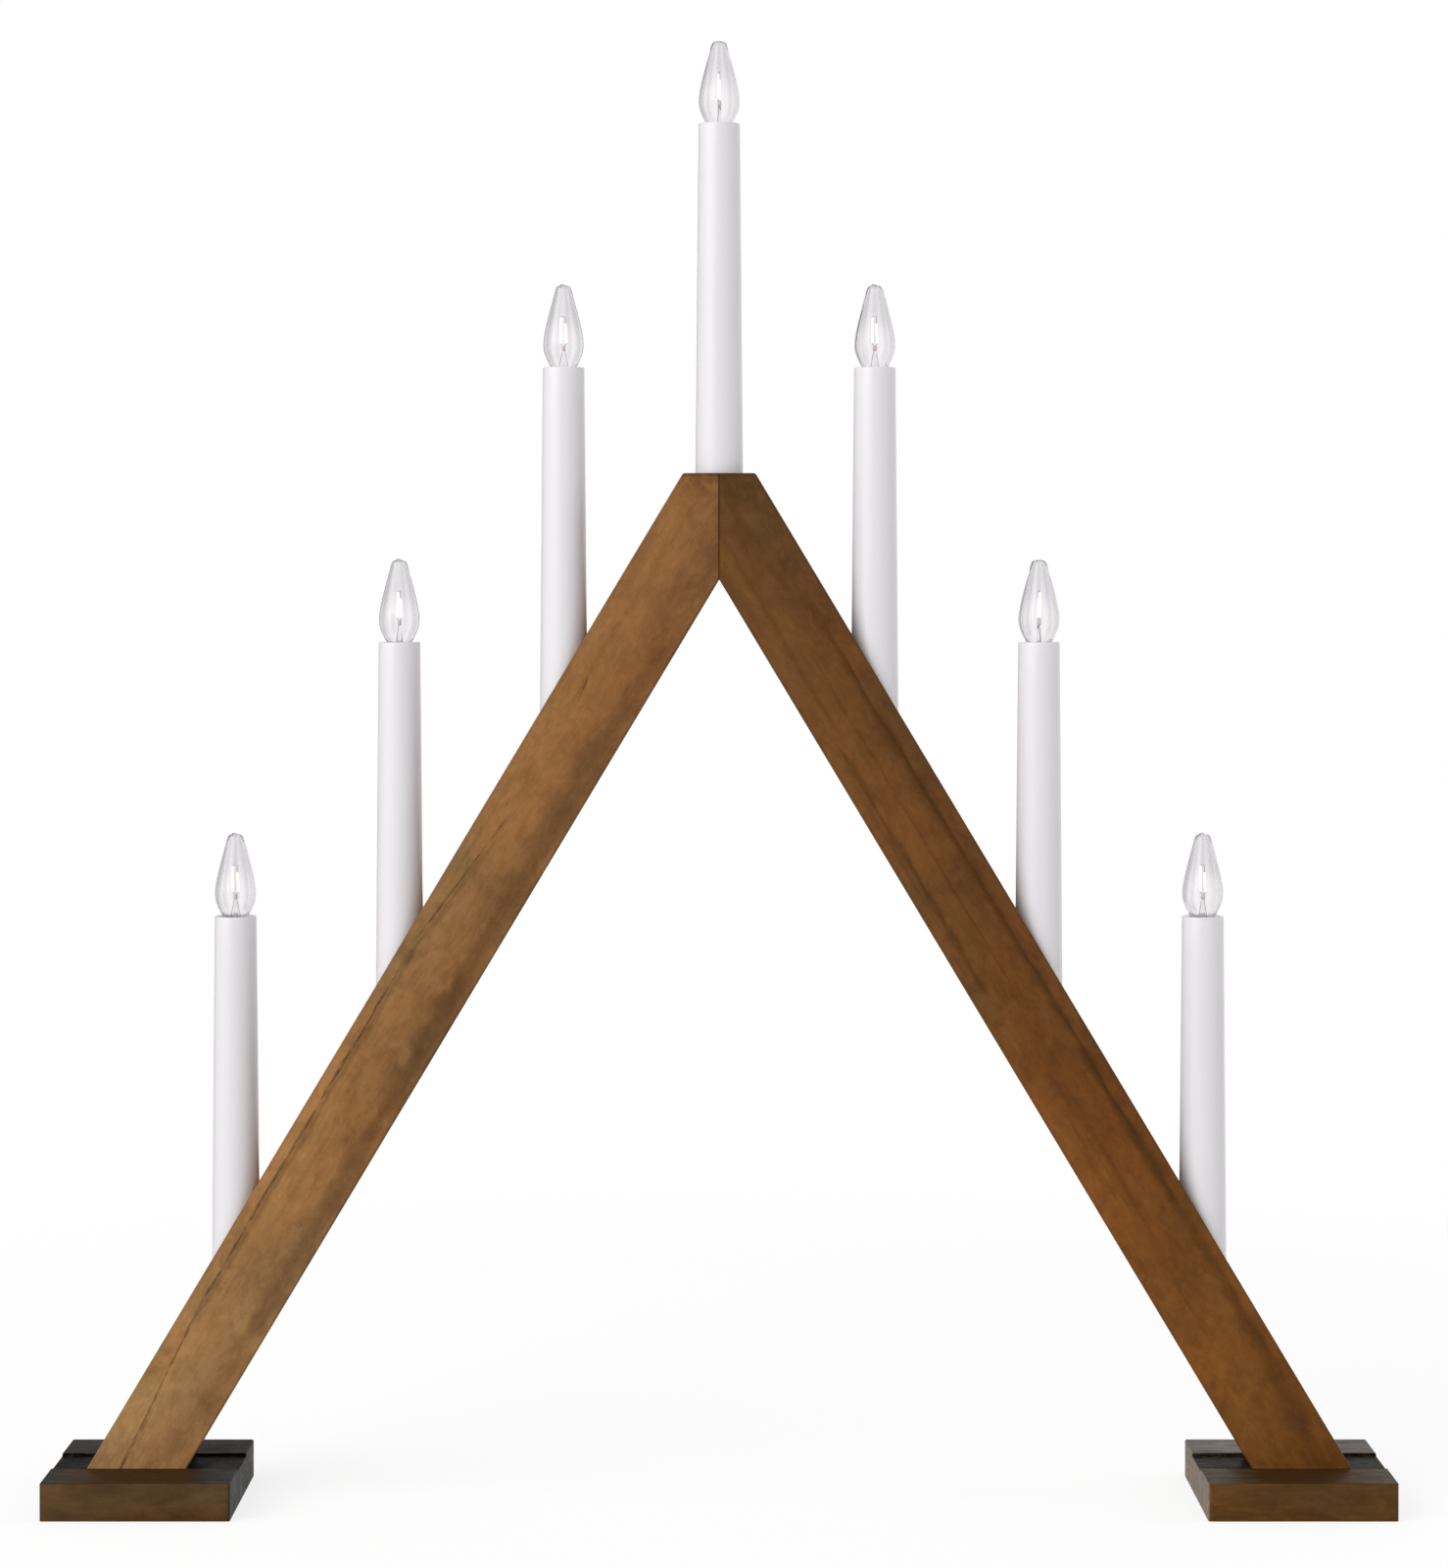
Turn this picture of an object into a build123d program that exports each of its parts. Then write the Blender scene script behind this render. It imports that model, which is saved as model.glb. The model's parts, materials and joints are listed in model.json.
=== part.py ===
"""Electric candle arch: two leaning timber arms on grooved feet, with a row of screw-in candle lamps.

Millimetres, +Z up, +Y towards the back. The origin is on the table, midway between the two feet.
"""

import os
from math import atan, cos, degrees, pi, sin, sqrt, tan

from build123d import *

# Overall layout
OVERALL_WIDTH = 500.0  # outer end of one foot to the outer end of the other
APEX_HEIGHT = 386.0  # flat top of the mitred arms above the table
ARM_OFFSET = 2.8  # arm's centre line at its foot's top face, outwards of the foot's middle
ARM_WIDTH = 32.0  # square to the arm, in the plane of the arch
ARM_DEPTH = 24.0  # front to back
ARM_EDGE = 0.8  # rounding of the arms' long edges
MITRE_LINE = 0.4  # depth of the fine line along the mitre, front and back
APEX_FLAT = 27.0  # width of the flat top under the middle candle
APEX_CORNER = 1.5  # rounding between the flat top and the arms' upper faces

# Feet
FOOT_LENGTH = 70.0
FOOT_DEPTH = 70.0
FOOT_HEIGHT = 14.0
FOOT_EDGE = 1.0
GROOVE_DEPTH = 1.2  # cross groove that locates the arm
GROOVE_GAP = 0.2  # arm to groove wall, each side

# Candle row
CANDLES_PER_ARM = 3
FIRST_CANDLE = 0.2686  # nearest side candle to the middle one, as a share of half the arms' spread
CANDLE_PITCH = 0.28375  # between side candles, as a share of the same
SLEEVE_LENGTH = 140.0
SLEEVE_FOOT_D = 18.1
SLEEVE_RIM_D = 15.6
SLEEVE_WALL = 1.2
SLEEVE_RIM_EDGE = 0.5
SLEEVE_GAP = 0.15  # sleeve to its seat, radial
SIDE_SEAT_DEPTH = 25.0  # below the arm's upper face, on the candle's axis
TOP_SEAT_DEPTH = 8.6  # below the flat top

# Lampholder, pressed into the top of the sleeve
HOLDER_LENGTH = 25.5
HOLDER_D = 12.7
HOLDER_GAP = 0.1  # holder to sleeve, and shell to holder, radial
HOLDER_BELOW_RIM = 2.5
HOLDER_FLOOR = 3.0
HOLDER_SKIRT_D = 10.4  # open space under the holder's floor, for the wires
LEDGE_HEIGHT = 2.0  # rib in the sleeve that the holder stands on
SHELL_D = 10.5  # brass screw shell, outside
SHELL_WALL = 0.3
SHELL_BELOW_TOP = 0.2
SHELL_LIFT = 2.0  # shell's seat above the holder's floor
TAB_WIDTH = 3.0
TAB_THICKNESS = 0.4
SPRING_THICKNESS = 0.3
SPRING_WIDTH = 2.8
BUTTON_D = 3.4
BUTTON_HEIGHT = 1.0

# Bulb with an E10 cap
CAP_D = 9.5
CAP_LENGTH = 9.0  # screw shell of the cap
CAP_WALL = 0.36
CAP_BELOW_RIM = 1.5
CAP_FLOOR = 1.5
CAP_CONE_HEIGHT = 1.5  # insulator under the shell
CAP_TIP_HEIGHT = 1.0
CAP_TIP_D = 2.8
GLASS_FLUTES = 10
GLASS_WALL = 0.6
GLASS_GAP = 0.1  # neck to cap, radial
GLASS_BELLY_D = 15.7
GLASS_TIP_D = 3.4
GLASS_HEIGHT = 31.8  # above the sleeve's rim
STEM_FLARE_HEIGHT = 0.8
STEM_D = 2.4
BEAD_D = 2.8
BEAD_BOTTOM = 6.5  # above the rim
BEAD_TOP = 9.0
FILAMENT_D = 1.1
FILAMENT_SPACING = 1.7
FILAMENT_LENGTH = 9.5

# Wiring channel in the underside of each arm
CHANNEL_WIDTH = 8.0
CHANNEL_DEPTH = 9.0  # from the underside to the channel's roof
COVER_WIDTH = 12.0
COVER_THICKNESS = 3.0
COVER_GAP = 0.1
WIRE_BORE_D = 7.2
WIRE_D = 1.6
WIRE_LANE = 2.6  # each wire's distance from the arch's mid-plane
LINK_LAYER = 7.6  # depth of the candle-to-candle wires
RETURN_LAYER = 5.2  # depth of the return wire, nearer the cover
WIRE_BEND = 2.5
RETURN_BEND = 3.0  # where the return wire goes over the apex
WIRE_HOLE_GAP = 0.25
OUTLET_BEYOND_LAST = 26.0  # cable outlet beyond the last wire bore, along the arm
CHANNEL_BEYOND_OUTLET = 8.0
SPLICE_BEYOND_LAST = 8.0
SPLICE_D = 2.4
SPLICE_LENGTH = 9.0
GROMMET_D = 6.8
GROMMET_BORE_D = 4.4
GROMMET_FLANGE_D = 9.4
GROMMET_FLANGE = 1.0  # sunk in the cover strip, flush with its outside
GROMMET_LIP_D = 7.7
GROMMET_LIP = 1.0  # behind the cover strip, in the channel
GROMMET_GAP = 0.1

# Joints between the timbers
DOWEL_D = 5.0
DOWEL_LENGTH = 30.0
DOWEL_SPACING = 15.0  # front dowel to back dowel
DOWEL_BELOW_TOP = 20.0
DOWEL_GAP = 0.05
SCREW_D = 4.0
SCREW_HEAD_D = 8.0
SCREW_LENGTH = 32.0
SCREW_POINT = 4.0
SCREW_SPACING = 12.0
SCREW_INSET = 4.0  # pair's centre, inwards of the arm's centre line at the foot
SCREW_GAP = 0.05
SCREW_SUNK = 0.5  # head below the foot's underside
FOOT_HOLE_D = 4.4

# Geometry that follows from the driving sizes
foot_x = OVERALL_WIDTH / 2 - FOOT_LENGTH / 2
arm_spread = 2 * (foot_x + ARM_OFFSET)  # between the arms' centre lines, at the top faces of the feet
groove_floor = FOOT_HEIGHT - GROOVE_DEPTH


def lean_from_layout():
    """Lean of the arms from the vertical, so that their upper faces meet the edges of the flat top."""
    rise = APEX_HEIGHT - FOOT_HEIGHT
    run = arm_spread / 2 - APEX_FLAT / 2
    guess = atan(run / rise)
    for _ in range(40):
        guess = atan((run + ARM_WIDTH / 2 / cos(guess)) / rise)
    return guess


lean = lean_from_layout()
half_arm_x = ARM_WIDTH / 2 / cos(lean)  # half the arm's width, measured level
inner_apex = FOOT_HEIGHT + (arm_spread / 2 - half_arm_x) / tan(lean)


def upper_face(x):
    """Height of the arms' upper faces at a distance x from the middle."""
    return FOOT_HEIGHT + (arm_spread / 2 + half_arm_x - x) / tan(lean)


def under(side, along, depth):
    """Point (x, z) in an arm: a distance along its underside from the apex, and a depth into the wood."""
    return (
        side * (along * sin(lean) + depth * cos(lean)),
        inner_apex - along * cos(lean) + depth * sin(lean),
    )


def face_on(*points):
    """Filled outline in the sketch that is being drawn."""
    Polygon(*points, align=None)


def arch_plane(y=0.0):
    """Upright plane of the arch: x to the right, local y up."""
    return Plane(origin=(0, y, 0), x_dir=(1, 0, 0), z_dir=(0, -1, 0))


def axis_plane(x, z):
    """Upright plane through a candle's axis, with its origin at a height on that axis."""
    return Plane(origin=(x, 0, z), x_dir=(1, 0, 0), z_dir=(0, -1, 0))


def underside_plane(side, along):
    """Plane on an arm's underside, facing out of the wood."""
    x, z = under(side, along, 0)
    return Plane(origin=(x, 0, z), x_dir=(0, 1, 0), z_dir=(-side * cos(lean), 0, -sin(lean)))


# Candle places: the seat's floor on each axis, from left to right
side_x = [arm_spread / 2 * (FIRST_CANDLE + CANDLE_PITCH * i) for i in range(CANDLES_PER_ARM)]
candle_x = [-x for x in reversed(side_x)] + [0.0] + side_x
middle = CANDLES_PER_ARM


def seat_floor(x):
    """Height of the flat seat that a candle's sleeve stands on."""
    return APEX_HEIGHT - TOP_SEAT_DEPTH if x == 0 else upper_face(abs(x)) - SIDE_SEAT_DEPTH


seat_z = [seat_floor(x) for x in candle_x]
seat_d = SLEEVE_FOOT_D + 2 * SLEEVE_GAP

# Wire bores run square to the underside, from the channel to each side candle's seat
bore_depth = ARM_WIDTH - SIDE_SEAT_DEPTH * sin(lean)
bore_along = [(x - bore_depth * cos(lean)) / sin(lean) for x in side_x]
outlet_along = bore_along[-1] + OUTLET_BEYOND_LAST
channel_end = outlet_along + GROMMET_FLANGE_D / 2 + CHANNEL_BEYOND_OUTLET
past_mitre = -2 * CHANNEL_DEPTH / tan(lean)  # far enough beyond the mitre to cut right through it

# Heights up a sleeve, from its foot
holder_top = SLEEVE_LENGTH - HOLDER_BELOW_RIM
holder_foot = holder_top - HOLDER_LENGTH
cap_top = SLEEVE_LENGTH - CAP_BELOW_RIM
cap_foot = cap_top - CAP_LENGTH
cap_inside = cap_foot + CAP_FLOOR
bulb_tip = cap_foot - CAP_CONE_HEIGHT - CAP_TIP_HEIGHT
button_foot = bulb_tip - BUTTON_HEIGHT
shell_foot = button_foot
pocket_floor = shell_foot - SHELL_LIFT
seat_bore_r = HOLDER_D / 2 + HOLDER_GAP
glass_neck_r = CAP_D / 2 - CAP_WALL - GLASS_GAP

# Screws in each foot, as distances from the middle of the arch
arm_foot_x = arm_spread / 2 + GROOVE_DEPTH * tan(lean)
screw_x = [arm_foot_x - SCREW_INSET + offset for offset in (-SCREW_SPACING / 2, SCREW_SPACING / 2)]
dowel_z = APEX_HEIGHT - DOWEL_BELOW_TOP
dowel_y = [-DOWEL_SPACING / 2, DOWEL_SPACING / 2]

os.makedirs("parts", exist_ok=True)


def keep(part, name):
    """Labels a finished piece and writes it under that name."""
    part.label = name
    export_step(part, f"parts/{name}.step")


def make_arm(side):
    """Timber arm: mitred at the apex, level at the foot, bored for candles, wires, dowels and screws."""
    toe = upper_face(0) - groove_floor
    heel = inner_apex - groove_floor
    with BuildPart() as arm:
        with BuildSketch(arch_plane()) as outline:
            face_on(
                (side * toe * tan(lean), groove_floor),
                (side * heel * tan(lean), groove_floor),
                (0, inner_apex),
                (0, APEX_HEIGHT),
                (side * (upper_face(0) - APEX_HEIGHT) * tan(lean), APEX_HEIGHT),
            )
            shoulder = outline.vertices().group_by(Axis.Y)[-1].sort_by(Axis.X)[-1 if side > 0 else 0]
            fillet(shoulder, radius=APEX_CORNER)
        extrude(amount=ARM_DEPTH / 2, both=True)
        # Ease the long edges, then cut a fine line along the mitre, front and back
        slope = Axis((0, 0, 0), (side * sin(lean), 0, -cos(lean)))
        fillet(arm.edges().filter_by(slope), radius=ARM_EDGE)
        with BuildSketch(Plane.XY.offset(groove_floor)):
            with Locations((0, -ARM_DEPTH / 2), (0, ARM_DEPTH / 2)):
                Rectangle(sqrt(2) * MITRE_LINE, sqrt(2) * MITRE_LINE, rotation=45)
        extrude(amount=APEX_HEIGHT - groove_floor, mode=Mode.SUBTRACT)
        # Rebate for the cover strip, and the deeper wiring channel behind it
        for width, depth in ((COVER_WIDTH, COVER_THICKNESS), (CHANNEL_WIDTH, CHANNEL_DEPTH)):
            with BuildSketch(arch_plane()):
                face_on(
                    under(side, past_mitre, -ARM_EDGE),
                    under(side, channel_end, -ARM_EDGE),
                    under(side, channel_end, depth),
                    under(side, past_mitre, depth),
                )
            extrude(amount=width / 2, both=True, mode=Mode.SUBTRACT)
        # Flat-bottomed candle seats; the middle one is shared with the other arm
        for x, z in zip(candle_x, seat_z):
            if x * side >= 0:
                with BuildSketch(Plane.XY.offset(z)):
                    with Locations((x, 0)):
                        Circle(seat_d / 2)
                extrude(amount=SLEEVE_LENGTH, mode=Mode.SUBTRACT)
        # Wire bores from the channel up into the seats
        for along in bore_along:
            with BuildSketch(underside_plane(side, along)):
                Circle(WIRE_BORE_D / 2)
            extrude(amount=-bore_depth - WIRE_BORE_D / 2, mode=Mode.SUBTRACT)
        with BuildSketch(Plane.XY.offset(seat_z[middle])):
            Circle(WIRE_BORE_D / 2)
        extrude(amount=inner_apex - seat_z[middle], mode=Mode.SUBTRACT)
        # Dowel holes across the mitre, and pilot holes for the foot screws
        with BuildSketch(Plane.YZ):
            with Locations(*[(y, dowel_z) for y in dowel_y]):
                Circle(DOWEL_D / 2 + DOWEL_GAP)
        extrude(amount=DOWEL_LENGTH / 2 + 1, both=True, mode=Mode.SUBTRACT)
        with BuildSketch(Plane.XY):
            with Locations(*[(side * x, 0) for x in screw_x]):
                Circle(SCREW_D / 2 + SCREW_GAP)
        extrude(amount=SCREW_SUNK + SCREW_LENGTH + 1, mode=Mode.SUBTRACT)
    return arm.part


def make_foot(side):
    """Foot block: a cross groove takes the arm's end, and two screws come up from below."""
    with BuildPart() as foot:
        with BuildSketch():
            with Locations((side * foot_x, 0)):
                Rectangle(FOOT_LENGTH, FOOT_DEPTH)
        extrude(amount=FOOT_HEIGHT)
        fillet(foot.edges().filter_by(Axis.Z), radius=FOOT_EDGE)
        fillet(foot.faces().sort_by(Axis.Z)[-1].edges(), radius=FOOT_EDGE / 2)
        with BuildSketch(Plane.XY.offset(groove_floor)):
            with Locations((side * foot_x, 0)):
                Rectangle(2 * FOOT_LENGTH, ARM_DEPTH + 2 * GROOVE_GAP)
        extrude(amount=GROOVE_DEPTH, mode=Mode.SUBTRACT)
        with Locations(*[Location((side * x, 0, 0), (180, 0, 0)) for x in screw_x]):
            CounterSinkHole(FOOT_HOLE_D / 2, SCREW_HEAD_D / 2 + SCREW_SUNK + SCREW_GAP, FOOT_HEIGHT)
    return foot.part


def make_cover(side):
    """Strip that closes the wiring channel, flush with the arm's underside."""
    half = COVER_WIDTH / 2 - COVER_GAP
    end = channel_end - COVER_GAP
    thickness = COVER_THICKNESS - COVER_GAP
    with BuildPart() as cover:
        with BuildSketch(arch_plane()):
            face_on(
                (0, inner_apex),
                under(side, end, 0),
                under(side, end, thickness),
                (0, inner_apex + thickness / sin(lean)),
            )
        extrude(amount=half, both=True)
        if side > 0:
            for diameter, depth in ((GROMMET_D, COVER_THICKNESS), (GROMMET_FLANGE_D, GROMMET_FLANGE)):
                with BuildSketch(underside_plane(side, outlet_along)):
                    Circle(diameter / 2 + GROMMET_GAP)
                extrude(amount=-depth, mode=Mode.SUBTRACT)
    return cover.part


def make_sleeve(x, z):
    """White candle sleeve: a tapered tube with a rib inside that carries the lampholder."""
    foot_r = SLEEVE_FOOT_D / 2
    rim_r = SLEEVE_RIM_D / 2
    ledge_foot = holder_foot - LEDGE_HEIGHT
    bore_r = foot_r - (foot_r - rim_r) * ledge_foot / SLEEVE_LENGTH - SLEEVE_WALL
    with BuildPart() as sleeve:
        with BuildSketch(axis_plane(x, z)):
            face_on(
                (foot_r - SLEEVE_WALL, 0),
                (foot_r, 0),
                (rim_r, SLEEVE_LENGTH),
                (seat_bore_r, SLEEVE_LENGTH),
                (seat_bore_r, holder_foot),
                (HOLDER_SKIRT_D / 2, holder_foot),
                (HOLDER_SKIRT_D / 2, ledge_foot),
                (bore_r, ledge_foot),
            )
        revolve(axis=Axis((x, 0, z), (0, 0, 1)))
        rim = sleeve.faces().filter_by(Axis.Z).sort_by(Axis.Z)[-1]
        fillet(rim.edges().sort_by(SortBy.RADIUS)[-1], radius=SLEEVE_RIM_EDGE)
    return sleeve.part


def make_holder(x, z):
    """Moulded lampholder: a pocket for the screw shell, a floor with two wire holes, and a hollow skirt."""
    with BuildPart() as holder:
        with BuildSketch(axis_plane(x, z)):
            face_on(
                (HOLDER_SKIRT_D / 2, holder_foot),
                (HOLDER_D / 2, holder_foot),
                (HOLDER_D / 2, holder_top),
                (SHELL_D / 2 + HOLDER_GAP, holder_top),
                (SHELL_D / 2 + HOLDER_GAP, shell_foot),
                (SHELL_D / 2 - 2 * SHELL_WALL, shell_foot),
                (SHELL_D / 2 - 2 * SHELL_WALL, pocket_floor),
                (0, pocket_floor),
                (0, pocket_floor - HOLDER_FLOOR),
                (HOLDER_SKIRT_D / 2, pocket_floor - HOLDER_FLOOR),
            )
        revolve(axis=Axis((x, 0, z), (0, 0, 1)))
        with BuildSketch(Plane.XY.offset(z + pocket_floor)):
            with Locations((x, -WIRE_LANE), (x, WIRE_LANE)):
                Circle(WIRE_D / 2 + WIRE_HOLE_GAP)
        extrude(amount=-HOLDER_FLOOR, mode=Mode.SUBTRACT)
    return holder.part


def make_screw_shells():
    """Brass screw shells of the lampholders, each with a terminal tab over its wire."""
    outer_r = SHELL_D / 2
    with BuildPart() as shells:
        for x, z in zip(candle_x, seat_z):
            with BuildSketch(Plane.XY.offset(z + shell_foot)):
                with Locations((x, 0)):
                    Circle(outer_r)
                    Circle(outer_r - SHELL_WALL, mode=Mode.SUBTRACT)
            extrude(amount=holder_top - SHELL_BELOW_TOP - shell_foot)
            tab_start = WIRE_LANE - WIRE_D / 2 + TAB_THICKNESS / 4
            tab_end = outer_r - SHELL_WALL / 2
            with BuildSketch(Plane.XY.offset(z + shell_foot)):
                with Locations((x, (tab_start + tab_end) / 2 - TAB_THICKNESS / 2)):
                    Rectangle(TAB_WIDTH, tab_end - tab_start)
            extrude(amount=TAB_THICKNESS)
    return shells.part


def make_contact_springs():
    """Bent leaf springs under the centre contacts, each with its foot on its lampholder's floor."""
    foot_end = SHELL_D / 2 - 3 * SHELL_WALL
    rise = WIRE_LANE - WIRE_D / 2
    pad_start, pad_end = BUTTON_D / 3, BUTTON_D / 2.4
    low = pocket_floor
    high = button_foot - SPRING_THICKNESS
    with BuildPart() as springs:
        for x, z in zip(candle_x, seat_z):
            with BuildSketch(Plane(origin=(x, 0, z), x_dir=(0, 1, 0), z_dir=(1, 0, 0))):
                face_on(
                    (-foot_end, low),
                    (-rise, low),
                    (-pad_start, high),
                    (pad_end, high),
                    (pad_end, high + SPRING_THICKNESS),
                    (-pad_start - SPRING_THICKNESS / 2, high + SPRING_THICKNESS),
                    (-rise - SPRING_THICKNESS / 2, low + SPRING_THICKNESS),
                    (-foot_end, low + SPRING_THICKNESS),
                )
            extrude(amount=SPRING_WIDTH / 2, both=True)
    return springs.part


def make_contact(x, z):
    """Centre contact: a small button on the spring, which follows the bulb as it is loosened."""
    with BuildPart() as contact:
        with BuildSketch(Plane.XY.offset(z + button_foot)):
            with Locations((x, 0)):
                Circle(BUTTON_D / 2)
        extrude(amount=BUTTON_HEIGHT)
        chamfer(contact.edges().group_by(Axis.Z)[-1], length=BUTTON_HEIGHT / 4)
    return contact.part


def make_cap(x, z):
    """Bulb cap: the screw shell, the insulator and the solder tip."""
    with BuildPart() as cap:
        with BuildSketch(axis_plane(x, z)):
            face_on(
                (0, bulb_tip),
                (CAP_TIP_D / 2, bulb_tip),
                (CAP_TIP_D / 2, bulb_tip + CAP_TIP_HEIGHT),
                (CAP_D / 2 - CAP_WALL, cap_foot),
                (CAP_D / 2, cap_foot + CAP_WALL),
                (CAP_D / 2, cap_top),
                (CAP_D / 2 - CAP_WALL, cap_top),
                (CAP_D / 2 - CAP_WALL, cap_inside),
                (0, cap_inside),
            )
        revolve(axis=Axis((x, 0, z), (0, 0, 1)))
    return cap.part


# Bulb outline: height above the rim as a share of the glass, and the share of the belly's radius
GLASS_OUTLINE = ((0.0, 0.64), (0.1, 0.83), (0.18, 0.97), (0.25, 1.0), (0.35, 0.98), (0.5, 0.865), (0.95, 0.34))


def glass_sections():
    """Outline of the fluted bulb as (height up the sleeve, radius) pairs, from its neck to its tip."""
    sections = [(cap_inside, glass_neck_r), (cap_top, glass_neck_r)]
    for height, width in GLASS_OUTLINE:
        sections.append((SLEEVE_LENGTH + GLASS_HEIGHT * height, GLASS_BELLY_D / 2 * width))
    sections.append((SLEEVE_LENGTH + GLASS_HEIGHT, GLASS_TIP_D / 2))
    return sections


def make_glass(x, z):
    """Fluted clear bulb, blown with an even wall and open at its neck."""
    outline = glass_sections()
    with BuildPart() as glass:
        for height, radius in outline:
            with BuildSketch(Plane.XY.offset(z + height)):
                with Locations((x, 0)):
                    RegularPolygon(radius, GLASS_FLUTES)
        loft(ruled=True)
        for height, radius in outline:
            inside = min(height, SLEEVE_LENGTH + GLASS_HEIGHT - GLASS_WALL)
            with BuildSketch(Plane.XY.offset(z + inside)):
                with Locations((x, 0)):
                    RegularPolygon(radius - GLASS_WALL, GLASS_FLUTES)
        loft(ruled=True, mode=Mode.SUBTRACT)
    return glass.part


def make_filament(x, z):
    """Lamp mount: a flared glass stem with a bead, and two upright filaments."""
    flare_r = (glass_neck_r - GLASS_WALL) * cos(pi / GLASS_FLUTES) - GLASS_GAP
    bead_foot = SLEEVE_LENGTH + BEAD_BOTTOM
    bead_top = SLEEVE_LENGTH + BEAD_TOP
    with BuildPart() as mount:
        with BuildSketch(axis_plane(x, z)):
            face_on(
                (0, cap_inside),
                (flare_r, cap_inside),
                (flare_r, cap_inside + STEM_FLARE_HEIGHT),
                (STEM_D / 2, SLEEVE_LENGTH),
                (STEM_D / 3, bead_foot),
                (BEAD_D / 2, bead_foot + (BEAD_TOP - BEAD_BOTTOM) / 3),
                (BEAD_D / 2, bead_top),
                (0, bead_top),
            )
        revolve(axis=Axis((x, 0, z), (0, 0, 1)))
        with BuildSketch(Plane.XY.offset(z + bead_top)):
            with Locations((x - FILAMENT_SPACING / 2, 0), (x + FILAMENT_SPACING / 2, 0)):
                RegularPolygon(FILAMENT_D / 2, 8)
        extrude(amount=FILAMENT_LENGTH)
    return mount.part


def make_dowels():
    """Two beech dowels across the mitre."""
    with BuildPart() as dowels:
        with BuildSketch(Plane.YZ):
            with Locations(*[(y, dowel_z) for y in dowel_y]):
                Circle(DOWEL_D / 2)
        extrude(amount=DOWEL_LENGTH / 2, both=True)
        chamfer(dowels.edges().filter_by(GeomType.CIRCLE), length=DOWEL_D / 8)
    return dowels.part


def make_foot_screws():
    """Countersunk wood screws, two up through each foot into the arm above it."""
    head_foot = SCREW_SUNK
    cone = (SCREW_HEAD_D - SCREW_D) / 2
    with BuildPart() as screws:
        for side in (-1, 1):
            for x in screw_x:
                with BuildSketch(axis_plane(side * x, head_foot)):
                    face_on(
                        (0, 0),
                        (SCREW_HEAD_D / 2, 0),
                        (SCREW_D / 2, cone),
                        (SCREW_D / 2, SCREW_LENGTH - SCREW_POINT),
                        (0, SCREW_LENGTH),
                    )
                revolve(axis=Axis((side * x, 0, head_foot), (0, 0, 1)))
    return screws.part


def wire_top(lane):
    """Height up a sleeve where a wire ends: under the spring's foot in front, under the shell's tab behind."""
    return pocket_floor if lane < 0 else shell_foot


def add_wire(y, points, radii):
    """Sweeps one insulated wire along a flat route, in the part that is being built."""
    with BuildLine(arch_plane(y)) as route:
        FilletPolyline(*points, radius=radii)
    with BuildSketch(Plane(origin=route.line @ 0, z_dir=route.line % 0)) as section:
        Circle(WIRE_D / 2)
    sweep(section.sketch, path=route.line)


def drop_into_channel(side, index, lane, layer):
    """Route from a side candle's terminal down its sleeve and bore to the channel, as (points, radii)."""
    x = side * side_x[index]
    floor = seat_floor(x)
    points = [(x, floor + wire_top(lane)), (x, floor), under(side, bore_along[index], layer)]
    return points, [WIRE_BEND, WIRE_BEND]


def make_link_wires():
    """Wires that join neighbouring lampholders in series, in alternate lanes."""
    with BuildPart() as links:
        for side in (-1, 1):
            lane = -side
            top_z = seat_z[middle]
            corner = (0, inner_apex + LINK_LAYER / sin(lean))
            down, bends = drop_into_channel(side, 0, lane, LINK_LAYER)
            add_wire(
                lane * WIRE_LANE,
                [(0, top_z + wire_top(lane)), corner, *reversed(down)],
                [WIRE_BEND, *reversed(bends)],
            )
            for index in range(CANDLES_PER_ARM - 1):
                lane = -lane
                start, first = drop_into_channel(side, index, lane, LINK_LAYER)
                end, last = drop_into_channel(side, index + 1, lane, LINK_LAYER)
                add_wire(lane * WIRE_LANE, [*start, *reversed(end)], [*first, *reversed(last)])
    return links.part


# Lanes left free at the outermost candles, after the links have taken theirs
free_lane = {side: -side * (-1) ** CANDLES_PER_ARM for side in (-1, 1)}


def make_supply_wires():
    """Lead to the outermost candle by the outlet, and the return wire from the other end of the arch."""
    splice_at = bore_along[-1] + SPLICE_BEYOND_LAST
    with BuildPart() as supply:
        lead, bends = drop_into_channel(1, CANDLES_PER_ARM - 1, free_lane[1], RETURN_LAYER)
        add_wire(free_lane[1] * WIRE_LANE, [*lead, under(1, splice_at, RETURN_LAYER)], bends)
        back, bends = drop_into_channel(-1, CANDLES_PER_ARM - 1, free_lane[-1], RETURN_LAYER)
        over_apex = (0, inner_apex + RETURN_LAYER / sin(lean))
        add_wire(
            free_lane[-1] * WIRE_LANE,
            [*back, over_apex, under(1, splice_at, RETURN_LAYER)],
            [*bends, RETURN_BEND],
        )
    return supply.part


def make_splices():
    """Crimped end sleeves on the two supply wires, inside the channel by the cable outlet."""
    x, z = under(1, bore_along[-1] + SPLICE_BEYOND_LAST, RETURN_LAYER)
    with BuildPart() as splices:
        with BuildSketch(Plane(origin=(x, 0, z), x_dir=(0, 1, 0), z_dir=(sin(lean), 0, -cos(lean)))):
            with Locations((-WIRE_LANE, 0), (WIRE_LANE, 0)):
                Circle(SPLICE_D / 2)
        extrude(amount=SPLICE_LENGTH)
    return splices.part


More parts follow.
